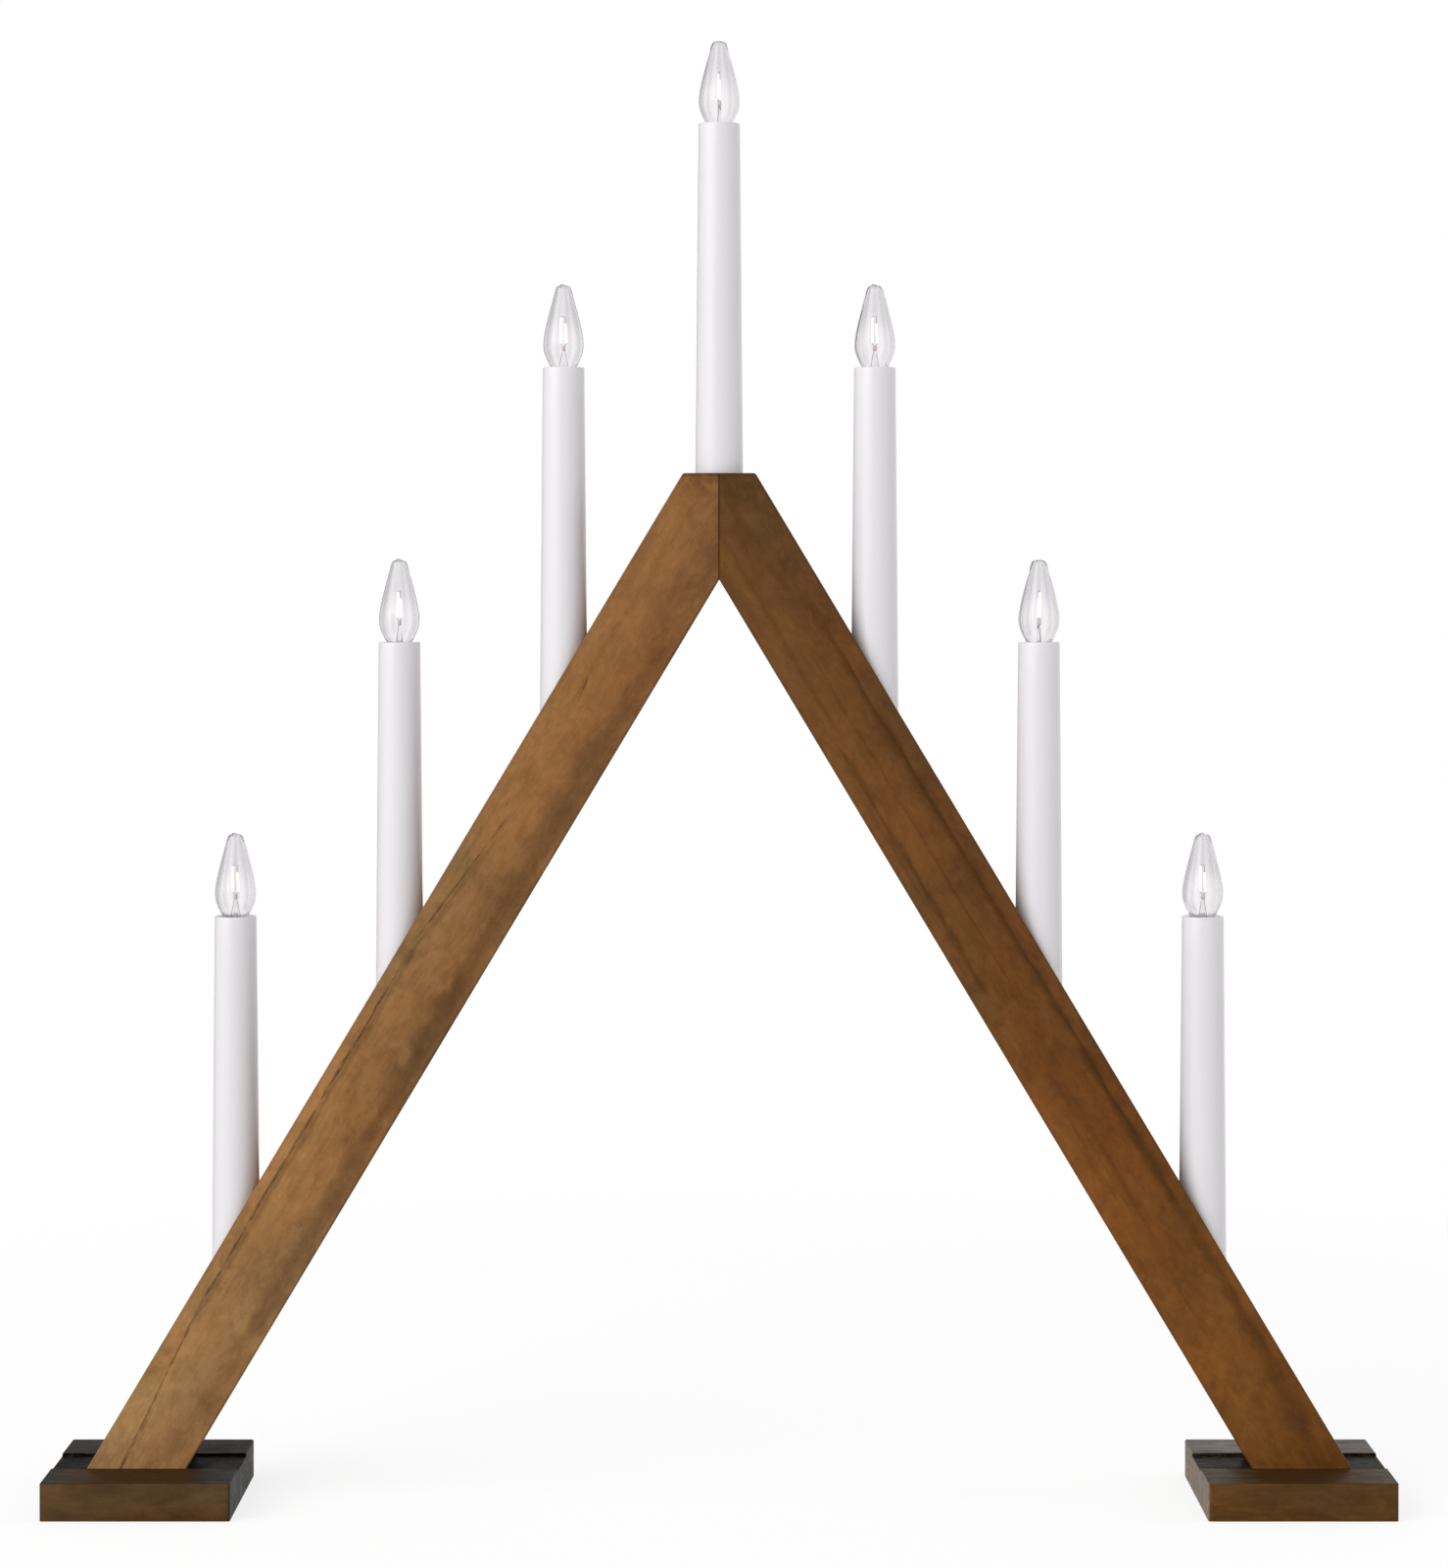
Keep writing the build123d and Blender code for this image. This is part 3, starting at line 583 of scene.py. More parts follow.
def foot_material(name, light, dark, vein, tops, end, offset, arm):
    """Stained foot block: its top coloured apart from its front as painted sheen and shade, its groove rough
    and painted dark as shade, its end grain, and a painted shadow of the arm on the top before it.
    """
    material, tree, shader = new_material(name)
    place = object_coordinates(tree, offset)
    sockets = {"Vector": place, "Light": light, "Dark": dark, "Vein": vein, "Veins": 0.3}
    grain = place_group(tree, stained_grain, sockets)
    facing = axes_of(tree, make(tree, "ShaderNodeNewGeometry").outputs["Normal"])
    own = make(tree, "ShaderNodeTexCoord").outputs["Object"]
    where = axes_of(tree, own)
    upward = spread(tree, facing["Z"], 0.4, 0.8)
    endward = spread(tree, calc(tree, "ABSOLUTE", facing["X"]), 0.4, 0.8)
    # The stain lies unevenly along the front, darker in bands
    band = spread(tree, noise(tree, place, (26, 60, 95), 2.0, 0.55, 0.8), 0.3, 0.7, 0.76, 1.22)
    front = scaled(tree, grain["Color"], band)
    low = spread(tree, where["Z"], 9 * MM, 1 * MM)
    front = blend(tree, low, front, tinted(tree, front, (0.93, 0.85, 0.76, 1)))
    mottle = spread(tree, noise(tree, place, (60, 420, 420), 3.0, 0.6, 0.5), 0.3, 0.7, 0.6, 1.35)
    # The top is coloured apart from the front as painted light: grey as painted sheen on the right foot, near
    # black as painted shade on the left
    top = blend(tree, spread(tree, where["Y"], -14 * MM, 14 * MM), *tops)
    top_colour = scaled(tree, top, mottle)
    # Painted shadow of the arm, dark brown, on the top before it
    aside = calc(tree, "ABSOLUTE", calc(tree, "SUBTRACT", where["X"], arm))
    aside = calc(tree, "MULTIPLY_ADD", noise(tree, place, (90, 200, 90), 3.0, 0.6), 16 * MM, aside)
    run = spread(tree, aside, 39 * MM, 25 * MM, 0.0, 0.95)
    run = calc(tree, "MULTIPLY", run, spread(tree, where["Y"], -10 * MM, -13 * MM))
    top_colour = blend(tree, run, top_colour, blend(tree, 0.85, front, vein))
    colour = blend(tree, upward, front, top_colour)
    sawn = place_group(tree, end_grain, {"Vector": own, "Color": end})
    colour = blend(tree, endward, colour, sawn["Color"])
    # The groove is left rough, and painted dark as shade in the recess
    inside = spread(tree, calc(tree, "ABSOLUTE", where["Y"]), 12.6 * MM, 12.4 * MM)
    inside = calc(tree, "MULTIPLY", inside, spread(tree, where["Z"], 9 * MM, 13 * MM))
    groove = calc(tree, "MULTIPLY", inside, calc(tree, "SUBTRACT", 1.0, endward))
    pitted = spread(tree, noise(tree, place, (240, 700, 700), 3.0, 0.7), 0.38, 0.72, 0.08, 0.85)
    colour = blend(tree, groove, colour, scaled(tree, tops[0][:3], pitted))
    rough_cut = calc(tree, "MAXIMUM", endward, groove)
    relief = calc(tree, "MULTIPLY_ADD", sawn["Height"], rough_cut, grain["Height"])
    finish_wood(tree, shader, colour, grain["Roughness"], relief, FOOT_SHEEN)
    return material


def moulded_material(name, colour, tint, rough, rough_spread, metallic=0.0, bump=0.05):
    """Plastic, rubber or metal with faint unevenness."""
    material, tree, shader = new_material(name)
    sockets = {"Vector": object_coordinates(tree), "Color": colour, "Tint": tint}
    sockets.update({"Roughness": rough, "Spread": rough_spread})
    scuff = place_group(tree, fine_scuff, sockets)
    tree.links.new(scuff["Color"], shader.inputs["Base Color"])
    tree.links.new(scuff["Roughness"], shader.inputs["Roughness"])
    shader.inputs["Metallic"].default_value = metallic
    add_bump(tree, shader, scuff["Height"], bump, 0.2 * MM)
    return material


# Painted shade in the flutes' valleys, standing in for the streaks that the flutes throw
FLUTE_SHADE = (0.93, 0.925, 0.931, 1)


def glass_material(name, belly, neck, edge, rough):
    """Clear lamp glass with faint draw lines; paler low in the belly by the lit filaments as a painted glow,
    greyer up its neck, and darker in its flutes and along its outline as painted shade.
    """
    material, tree, shader = new_material(name)
    place = object_coordinates(tree)
    height = make(tree, "ShaderNodeAttribute", attribute_name="above_rim").outputs["Fac"]
    depth = make(tree, "ShaderNodeAttribute", attribute_name="in_flute").outputs["Fac"]
    turned_away = make(tree, "ShaderNodeLayerWeight", {"Blend": 0.5}).outputs["Facing"]
    # Paler low in the belly as a painted glow of the filaments, greyer up the neck
    colour = blend(tree, spread(tree, height, 10 * MM, 21 * MM), belly, neck)
    # Painted shade in the flutes
    colour = blend(tree, spread(tree, depth, 0.4, 1.0), colour, tinted(tree, colour, FLUTE_SHADE))
    # Painted shade along the outline
    colour = blend(tree, spread(tree, turned_away, 0.08, 0.55), colour, tinted(tree, colour, edge))
    tree.links.new(colour, shader.inputs["Base Color"])
    shader.inputs["Roughness"].default_value = rough
    shader.inputs["Transmission Weight"].default_value = 1.0
    shader.inputs["IOR"].default_value = 1.47
    add_bump(tree, shader, noise(tree, place, (90, 90, 30), 0.0), 0.015, 0.5 * MM)
    return material


def filament_material(warm, pale, strength):
    """Lit filament, a little uneven in its glow."""
    material, tree, shader = new_material("lit_filament")
    ripple = spread(tree, noise(tree, object_coordinates(tree), (900, 900, 900), 1.0), 0.2, 0.8)
    tree.links.new(blend(tree, ripple, warm, pale), shader.inputs["Emission Color"])
    shader.inputs["Emission Strength"].default_value = strength
    shader.inputs["Base Color"].default_value = (0.9, 0.7, 0.35, 1)
    shader.inputs["Roughness"].default_value = 0.5
    return material


# Operators, one for each group of pieces


def dark_line(strength, across, drift, start, end, width, wobble):
    """One dark line along an arm, in metres along and across it. The thinner it is, the more broken."""
    shape = {"Across": across, "Drift": drift, "From": start, "To": end, "Width": width, "Wobble": wobble}
    shape["Broken"] = 0.75 if width < 1.5 * MM else 0.3 if width < 8.6 * MM else 0.1
    return strength, shape


# Lines on the left arm, across from its outer edge, and on the right arm, across from its inner edge
LEFT_LINES = (
    dark_line(0.60, 0.0105, -0.105, 0.145, 0.214, 0.0008, 0.0014),
    dark_line(0.24, 0.0116, -0.105, 0.150, 0.225, 0.0024, 0.0022),
    dark_line(0.66, 0.0042, 0.004, 0.214, 0.372, 0.0009, 0.0022),
    dark_line(0.34, 0.0054, 0.004, 0.205, 0.385, 0.0022, 0.0028),
    dark_line(0.58, 0.0047, 0.085, 0.362, 0.450, 0.0008, 0.0016),
    dark_line(0.42, 0.0095, 0.060, 0.405, 0.450, 0.0008, 0.0016),
    dark_line(0.85, 0.0078, 0.150, 0.084, 0.105, 0.0006, 0.0004),
    dark_line(0.32, 0.0265, 0.000, 0.060, 0.260, 0.0100, 0.0022),
    dark_line(0.38, 0.0265, 0.006, 0.205, 0.372, 0.0090, 0.0022),
    dark_line(0.24, 0.0262, 0.010, 0.345, 0.410, 0.0085, 0.0080),
    dark_line(0.30, 0.0100, 0.300, -0.020, 0.045, 0.0070, 0.0060),
)
RIGHT_LINES = (
    dark_line(0.50, 0.0240, 0.010, 0.055, 0.330, 0.0034, 0.0030),
    dark_line(0.66, 0.0247, 0.010, 0.075, 0.300, 0.0015, 0.0024),
    dark_line(0.46, 0.0262, 0.010, 0.250, 0.400, 0.0042, 0.0034),
    dark_line(0.36, 0.0268, -0.030, 0.350, 0.450, 0.0060, 0.0040),
    dark_line(0.22, 0.0264, 0.012, 0.255, 0.400, 0.0012, 0.0026),
    dark_line(0.40, 0.0150, 0.006, 0.075, 0.225, 0.0011, 0.0020),
    dark_line(0.52, 0.0064, -0.004, 0.105, 0.225, 0.0026, 0.0024),
    dark_line(0.35, 0.0068, -0.004, 0.150, 0.220, 0.0014, 0.0016),
    dark_line(0.40, 0.0085, 0.000, 0.268, 0.292, 0.0014, 0.0010),
    dark_line(0.20, 0.0120, 0.010, 0.180, 0.330, 0.0060, 0.0080),
    dark_line(0.28, 0.0270, -0.200, -0.030, 0.050, 0.0070, 0.0060),
)
# Tints of each arm's colour: at its top, low on it, at its foot, and along its left and right edges; the
# lighter foot and the lighter left side are partly stain and partly painted light
LEFT_CASTS = (
    (1.05, 0.92, 0.82, 1), (1.40, 1.36, 1.30, 1), (1.72, 1.58, 1.48, 1),
    (1.13, 1.20, 1.31, 1), (0.97, 0.94, 0.96, 1),
)
RIGHT_CASTS = (
    (0.98, 1.10, 1.42, 1), (1.36, 1.25, 1.02, 1), (1.36, 1.23, 0.98, 1),
    (1.03, 1.08, 1.24, 1), (0.89, 0.87, 0.92, 1),
)
RIGHT_VEIN = (0.060, 0.0215, 0.0016, 1)
# Grey back strip of the right foot's top: painted sheen
RIGHT_FOOT_BACK_SHEEN = (0.19, 0.166, 0.150, 1)
LEFT_FOOT_END = (0.027, 0.025, 0.020, 1)
RIGHT_FOOT_END = (0.20, 0.158, 0.116, 1)


class CANDLEARCH_OT_timber(bpy.types.Operator):
    """Stains the arms, their cover strips, the feet and the dowels"""

    bl_idname = "candle_arch.timber"
    bl_label = "Stain the timber"

    def execute(self, context):
        stain = context.scene.candle_timber
        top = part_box("left_arm")[1][2]
        edge = top * sin(LEAN) + HALF_TOP * cos(LEAN)
        left_offset = (top * cos(LEAN), 0, edge)
        right_offset = (top * cos(LEAN), 0, ARM_WIDTH - edge)
        left_turn, right_turn = -(pi / 2 + LEAN), -(pi / 2 - LEAN)
        left = stain.left_light, stain.left_dark
        right = stain.right_light, stain.right_dark
        elsewhere = (3.0, 0, 3.0)
        materials = {
            "left_arm": timber_material(
                "left_arm_stain", *left, stain.vein, 0.16, left_offset, left_turn, LEFT_LINES, LEFT_CASTS
            ),
            "right_arm": timber_material(
                "right_arm_stain", *right, RIGHT_VEIN, 0.38, right_offset, right_turn,
                RIGHT_LINES, RIGHT_CASTS,
            ),
            "left_channel_cover": timber_material(
                "left_cover_stain", *left, stain.vein, 0.3, elsewhere, left_turn
            ),
            "right_channel_cover": timber_material(
                "right_cover_stain", *right, stain.vein, 0.3, elsewhere, right_turn
            ),
        }
        arm_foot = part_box("right_arm")[1][0] - ARM_WIDTH / cos(LEAN) / 2
        tops = stain.left_foot_top, stain.left_foot_top
        materials["left_foot"] = foot_material(
            "left_foot_stain", stain.left_foot_light, stain.left_foot_dark, stain.vein,
            tops, LEFT_FOOT_END, (5.0, 5.0, 0), -arm_foot,
        )
        tops = stain.right_foot_top, RIGHT_FOOT_BACK_SHEEN
        materials["right_foot"] = foot_material(
            "right_foot_stain", stain.right_foot_light, stain.right_foot_dark, stain.vein,
            tops, RIGHT_FOOT_END, (8.0, 8.0, 0), arm_foot,
        )
        materials["apex_dowels"] = timber_material(
            "plain_beech", (0.60, 0.40, 0.23, 1), (0.48, 0.30, 0.16, 1), (0.35, 0.2, 0.1, 1),
            0.2, (1, 1, 1), 0.0,
        )
        for node, material in materials.items():
            finish_node(node, material)
        return {"FINISHED"}


class CANDLEARCH_OT_sleeves(bpy.types.Operator):
    """Turns the tapered white candle sleeves"""

    bl_idname = "candle_arch.sleeves"
    bl_label = "Turn the sleeves"

    def execute(self, context):
        size = context.scene.candle_candles
        low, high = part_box("sleeve_1")
        foot_r, length = (high[0] - low[0]) / 2, high[2] - low[2]
        rim_r, mouth_r = size.rim_diameter / 2, size.mouth_diameter / 2
        rib, rib_r = 2 * MM, 5.2 * MM
        mouth_foot = length - size.mouth_depth
        slope = (foot_r - rim_r) / length
        lip = 0.45 * MM
        outline = [(foot_r - size.wall, 0), (foot_r, 0), (foot_r - slope * 4 * MM, 4 * MM)]
        outline += [(foot_r - slope * length * step / 8, length * step / 8) for step in range(1, 8)]
        turn = [radians(angle) for angle in (0, 22, 45, 67, 90)]
        outline += [(rim_r - lip + lip * cos(a), length - lip + lip * sin(a)) for a in turn]
        outline += [(mouth_r + lip / 2, length), (mouth_r, length - lip / 2)]
        outline += [(mouth_r, mouth_foot), (rib_r, mouth_foot), (rib_r, mouth_foot - rib)]
        inside_r = foot_r - slope * mouth_foot - size.wall
        outline += [(inside_r, mouth_foot - rib), (foot_r - size.wall, 0)]
        master = turned("sleeve_model", outline, 96)
        white = moulded_material("gloss_white", size.sleeve_white, 0.04, 0.3, 0.06, bump=0.02)
        for number in CANDLES:
            x, foot, _ = candle(number)
            sleeve = copy_of(master, f"candle_sleeve_{number}", Matrix.Translation((x, 0, foot)))
            finish_piece(sleeve, "arch", "white_gloss_plastic", white, f"sleeve_{number}")
        put_away(master)
        return {"FINISHED"}


class CANDLEARCH_OT_lampholders(bpy.types.Operator):
    """Finishes the lampholders, their screw shells, springs and contacts"""

    bl_idname = "candle_arch.lampholders"
    bl_label = "Finish the lampholders"

    def execute(self, context):
        moulded = moulded_material("holder_white", (0.84, 0.82, 0.83, 1), 0.08, 0.5, 0.1)
        brass = moulded_material("bright_brass", (0.70, 0.49, 0.20, 1), 0.2, 0.3, 0.12, metallic=1.0)
        # A white collar fills the sleeve's mouth from the lampholder's top to just under the rim
        ring = in_mm(
            (4.86, -2.45), (6.3, -2.45), (6.4, -2.35), (6.4, -0.35), (6.2, -0.15), (5.1, -0.15),
            (4.92, -0.25), (4.86, -0.42), (4.86, -2.45),
        )
        master = turned("collar_model", ring, 64)
        for number in CANDLES:
            x, _, rim = candle(number)
            collar = copy_of(master, f"holder_collar_{number}", Matrix.Translation((x, 0, rim)))
            finish_piece(collar, "arch", "white_matte_plastic", moulded)
            finish_node(f"lampholder_{number}", moulded)
            finish_node(f"centre_contact_{number}", brass)
        put_away(master)
        finish_node("screw_shells", brass)
        finish_node("contact_springs", brass)
        return {"FINISHED"}


# Bulb outline above the sleeve's rim, as (radius, height) in millimetres
BULB_OUTLINE = (
    (4.29, -9.0), (4.29, -1.6), (4.42, -0.7), (4.85, 0.1), (5.4, 1.0), (5.98, 2.2), (6.62, 3.6), (7.22, 5.1),
    (7.6, 6.6), (7.73, 8.2), (7.68, 9.8), (7.5, 11.3), (7.02, 14.0), (6.32, 17.0), (5.55, 20.0), (4.76, 23.0),
    (4.02, 25.8), (3.36, 28.2), (2.95, 29.5), (2.62, 30.2), (2.1, 30.62), (1.4, 30.75), (0.9, 30.95),
    (0.75, 31.3), (0.5, 31.62), (0.0, 31.72),
)
NIB_FOOT = 30.85  # height where the sealed nib starts on the flat tip
NIB_OFFSET = 0.55
NIB_SQUASH = 0.5
PINCHED_SQUASH = 0.15
PINCH = 0.3  # how much narrower a pinched bulb is below its tip, in millimetres
PINCH_FROM, PINCH_TO = 24.0, 27.0
FLUTE_FOOT = 0.5 * MM  # height where the flutes start
FLUTE_STEPS = 12  # steps round one flute, from ridge to ridge


def pick(piece, wanted):
    """Selects the points of a piece that are wanted by their place, in edit mode."""
    if bpy.context.mode == "EDIT_MESH":
        bpy.ops.mesh.select_all(action="DESELECT")
        bpy.ops.object.mode_set(mode="OBJECT")
    for face in piece.data.polygons:
        face.select = False
    for edge in piece.data.edges:
        edge.select = False
    for point in piece.data.vertices:
        point.select = wanted(point.co)
    bpy.ops.object.mode_set(mode="EDIT")


def flute_phase(co, steps):
    """Steps from the nearest ridge between two flutes, 0 to 6."""
    step = round(atan2(co.y, co.x) / (2 * pi) * steps) % FLUTE_STEPS
    return min(step, FLUTE_STEPS - step)


def is_fluted(co):
    """Whether a point lies above the flutes' start and off the bulb's tip."""
    return co.z > FLUTE_FOOT and co.xy.length > 1.6 * MM


def fluted_bulb(name, flutes, depth, wall, pinch):
    """Blown bulb: turned, pressed into soft flutes, and given an even wall."""
    outline = []
    for radius, height in BULB_OUTLINE:
        if PINCH_FROM < height < PINCH_TO:
            radius -= pinch
        outline.append((radius * MM, height * MM))
    steps = flutes * FLUTE_STEPS
    piece = turned(name, outline, steps)
    valley = FLUTE_STEPS // 2
    for phase in range(valley + 1):
        factor = 1 - depth * (0.5 - 0.5 * cos(phase / valley * pi))
        pick(piece, lambda co: is_fluted(co) and flute_phase(co, steps) == phase)
        bpy.ops.transform.resize(value=(factor, factor, 1), center_override=(0, 0, 0))
    # The sealed nib sits off the axis and low, and is ground almost flat on a pinched tip
    pick(piece, lambda co: co.z > NIB_FOOT * MM)
    bpy.ops.transform.translate(value=(-NIB_OFFSET * MM, 0, 0))
    squash = PINCHED_SQUASH if pinch else NIB_SQUASH
    bpy.ops.transform.resize(value=(1, 1, squash), center_override=(0, 0, NIB_FOOT * MM))
    bpy.ops.object.mode_set(mode="OBJECT")
    apply_modifier(piece, "SOLIDIFY", thickness=wall, offset=-1.0, use_even_offset=True, use_rim=True)
    # Smoothed without close_up, which would turn the inner wall round
    bpy.ops.object.shade_smooth_by_angle(angle=GLASS_SMOOTH_ANGLE)
    mark_glass(piece, flutes)
    return piece


def flute_share(co, flutes):
    """How deep a point lies in a flute, from 0 on a ridge to 1 in a valley, fading at the flute's ends."""
    low_end = min(max((co.z - FLUTE_FOOT) / (3 * MM), 0), 1)
    high_end = min(max((co.xy.length - 1.2 * MM) / (1.5 * MM), 0), 1)
    return (0.5 - 0.5 * cos(flutes * atan2(co.y, co.x))) * low_end * high_end


def mark_glass(piece, flutes=0):
    """Keeps each point's height above the rim and its depth in a flute as attributes, for the glass."""
    points = piece.data.vertices
    heights = [point.co.z for point in points]
    depths = [flute_share(point.co, flutes) for point in points]
    for name, values in (("above_rim", heights), ("in_flute", depths)):
        marks = piece.data.attributes.new(name, "FLOAT", "POINT")
        marks.data.foreach_set("value", values)


def straight_wire(name, points, radius):
    """Thin wire: a small circle extruded from point to point, with closed ends."""
    start_fresh()
    bpy.ops.mesh.primitive_circle_add(vertices=10, radius=radius, fill_type="NGON", location=points[0])
    piece = bpy.context.object
    piece.name = piece.data.name = name
    bpy.ops.object.transform_apply(location=True, rotation=True, scale=True)
    bpy.ops.object.mode_set(mode="EDIT")
    bpy.ops.mesh.select_all(action="SELECT")
    here = Vector(points[0])
    for point in points[1:]:
        there = Vector(point)
        bpy.ops.mesh.extrude_region_move(TRANSFORM_OT_translate={"value": there - here})
        here = there
    close_up(piece)
    return piece


def joined(name, pieces):
    """Joins pieces of one finish into one."""
    choose(*pieces)
    bpy.ops.object.join()
    pieces[0].name = pieces[0].data.name = name
    return pieces[0]


def lamp_mount():
    """Stem, lead wires, bead, cement and filament sticks of one lamp, with the rim at height 0."""
    outline = in_mm(
        (0.0, -9.0), (3.3, -9.0), (3.3, -8.3), (2.2, -6.5), (1.3, -3.5), (0.95, 0.0), (0.72, 3.4),
        (0.66, 5.4), (0.6, 6.3), (0.0, 6.4),
    )
    stem = turned("stem_model", outline, 32)
    mark_glass(stem)
    runs = []
    for side in (-1, 1):
        runs.append(((side * 1.0, -4.5), (side * 1.75, 0.3), (side * 0.85, 4.6), (side * 0.5, 6.5)))
        runs.append(((side * 0.5, 8.2), (side * 1.1, 8.9), (side * 1.12, 9.4)))
    runs.append(((-0.91, 18.5), (-0.60, 19.3), (0.0, 19.5)))
    runs.append(((0.63, 16.2), (0.74, 18.2), (0.4, 19.3), (0.0, 19.5)))
    leads = [straight_wire("lead", [(x * MM, 0, z * MM) for x, z in run], 0.12 * MM) for run in runs]
    leads = joined("leads_model", leads)
    outline = in_mm((0.0, 6.2), (0.5, 6.3), (0.72, 6.7), (0.8, 7.4), (0.75, 8.0), (0.5, 8.5), (0.0, 8.6))
    bead = turned("bead_model", outline, 24)
    outline = in_mm(
        (4.32, -1.49), (4.74, -1.49), (4.80, -0.6), (4.78, -0.32), (4.66, -0.3), (4.45, -0.72), (4.32, -1.49)
    )
    cement = turned("cement_model", outline, 64)
    sticks = []
    for side, length, tilt in ((-1, 9.5, 1.3), (1, 7.2, 4.0)):
        outline = in_mm(
            (0.0, 0.0), (0.26, 0.05), (0.34, 0.3), (0.37, 0.8),
            (0.37, length - 0.8), (0.34, length - 0.3), (0.26, length - 0.05), (0.0, length),
        )
        stick = turned("stick", outline, 20)
        lean = Matrix.Rotation(radians(-side * tilt), 4, "Y")
        stick.data.transform(Matrix.Translation((side * 1.12 * MM, 0, 9.2 * MM)) @ lean)
        sticks.append(stick)
    return stem, leads, bead, cement, joined("sticks_model", sticks)


# Turn of each bulb about its axis, in degrees: they are screwed home at different angles
BULB_TURNS = (10, 55, -18, 72, 28, 100, -40)
PINCHED_BULBS = (4, 6)


class CANDLEARCH_OT_bulbs(bpy.types.Operator):
    """Blows the fluted bulbs and fits their caps, stems and lit filaments"""

    bl_idname = "candle_arch.bulbs"
    bl_label = "Blow the bulbs"

    def execute(self, context):
        size = context.scene.candle_candles
        # The pale belly is a painted glow by the filaments; the edge colour is painted shade along the
        # outline
        belly, neck, edge = (0.950, 0.935, 0.947, 1), (0.872, 0.859, 0.876, 1), (0.82, 0.82, 0.825, 1)
        clear = glass_material("lamp_glass", belly, neck, edge, 0.05)
        belly = neck = (0.93, 0.93, 0.93, 1)
        stem_glass = glass_material("stem_glass", belly, neck, (1, 1, 1, 1), 0.05)
        plated = moulded_material("cap_metal", (0.88, 0.86, 0.83, 1), 0.1, 0.4, 0.14, metallic=1.0)
        nickel = moulded_material("lead_metal", (0.42, 0.39, 0.38, 1), 0.2, 0.4, 0.1, metallic=1.0)
        ceramic = moulded_material("bead_brown", (0.68, 0.58, 0.54, 1), 0.3, 0.6, 0.1)
        pale = moulded_material("cap_cement", (0.84, 0.80, 0.76, 1), 0.2, 0.7, 0.1)
        glow = filament_material(size.glow_colour, (1.0, 0.94, 0.84, 1), size.glow_strength)
        plain = fluted_bulb("plain_model", size.flutes, size.flute_depth, size.glass_wall, 0.0)
        pinched = fluted_bulb("pinched_model", size.flutes, size.flute_depth, size.glass_wall, PINCH)
        stem, leads, bead, cement, sticks = lamp_mount()
        for number in CANDLES:
            x, _, rim = candle(number)
            turn = Matrix.Rotation(radians(BULB_TURNS[number - 1]), 4, "Z")
            place = Matrix.Translation((x, 0, rim)) @ turn
            bulb = pinched if number in PINCHED_BULBS else plain
            # Each piece: its model, name, slot and material, and the nodes that it stands for
            pieces = (
                (bulb, "fluted_bulb", "clear_glass", clear, f"bulb_glass_{number}"),
                (stem, "lamp_stem", "clear_glass", stem_glass, f"bulb_filament_{number}"),
                (leads, "lead_wires", "zinc_steel", nickel),
                (bead, "lamp_bead", "white_matte_plastic", ceramic),
                (cement, "cap_cement", "white_matte_plastic", pale),
                (sticks, "filament_sticks", "led_filament", glow),
            )
            for master, name, slot, material, *nodes in pieces:
                piece = copy_of(master, f"{name}_{number}", place)
                finish_piece(piece, f"bulb_{number}", slot, material, *nodes)
                piece.visible_shadow = slot != "clear_glass"
            finish_node(f"bulb_cap_{number}", plated)
        put_away(plain, pinched, stem, leads, bead, cement, sticks)
        return {"FINISHED"}


def screw_places(node):
    """Axes of the foot screws, from the points of their tips in the frame."""
    tip = max(point.co.z for point in node.data.vertices)
    tips = {(round(p.co.x, 5), round(p.co.y, 5)) for p in node.data.vertices if p.co.z > tip - 0.01 * MM}
    return sorted(tips)


def cross_screw():
    """Countersunk wood screw with a cross recess, its head's face at height 0."""
    outline = in_mm((0.0, 0.0), (3.8, 0.0), (4.0, 0.12), (2.0, 2.0), (2.0, 28.0), (1.2, 30.2), (0.0, 32.0))
    screw = turned("screw_model", outline, 48)
    arms = []
    for width, depth in ((4.4, 0.9), (0.9, 4.4)):
        start_fresh()
        bpy.ops.mesh.primitive_cube_add(size=1)
        bar = bpy.context.object
        bar.data.transform(Matrix.Diagonal((width * MM, depth * MM, 3.2 * MM, 1)))
        arms.append(bar)
    for bar in arms:
        apply_modifier(screw, "BOOLEAN", operation="DIFFERENCE", object=bar, solver="EXACT")
    put_away(*arms)
    choose(screw)
    close_up(screw)
    return screw


class CANDLEARCH_OT_fittings(bpy.types.Operator):
    """Finishes the screws, wires, splices and the cable grommet"""

    bl_idname = "candle_arch.fittings"
    bl_label = "Finish the fittings"

    def execute(self, context):
        zinc = moulded_material("zinc_plate", (0.62, 0.62, 0.60, 1), 0.15, 0.35, 0.15, metallic=1.0)
        wire = moulded_material("wire_cover", (0.70, 0.70, 0.68, 1), 0.1, 0.5, 0.1)
        nylon = moulded_material("splice_cover", (0.62, 0.62, 0.58, 1), 0.1, 0.45, 0.1)
        rubber = moulded_material("grommet_black", (0.03, 0.026, 0.024, 1), 0.3, 0.6, 0.15)
        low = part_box("foot_screws")[0]
        master = cross_screw()
        spots = screw_places(frame["nodes"]["foot_screws"])
        for number, (x, y) in enumerate(spots, start=1):
            turn = Matrix.Rotation(radians(37 * number), 4, "Z")
            screw = copy_of(master, f"cross_screw_{number}", Matrix.Translation((x, y, low[2])) @ turn)
            finish_piece(screw, "arch", "zinc_steel", zinc, *(("foot_screws",) if number == 1 else ()))
        put_away(master)
        finish_node("link_wires", wire)
        finish_node("supply_wires", wire)
        finish_node("supply_splices", nylon)
        finish_node("cable_grommet", rubber)
        return {"FINISHED"}


SCREEN_DIRECTION = (-0.757, 0.653, 0)
PATCH_DIRECTION = (-0.65, -0.6, 0.46)
ARCH_MIDDLE = Vector((0, 0, 0.27))


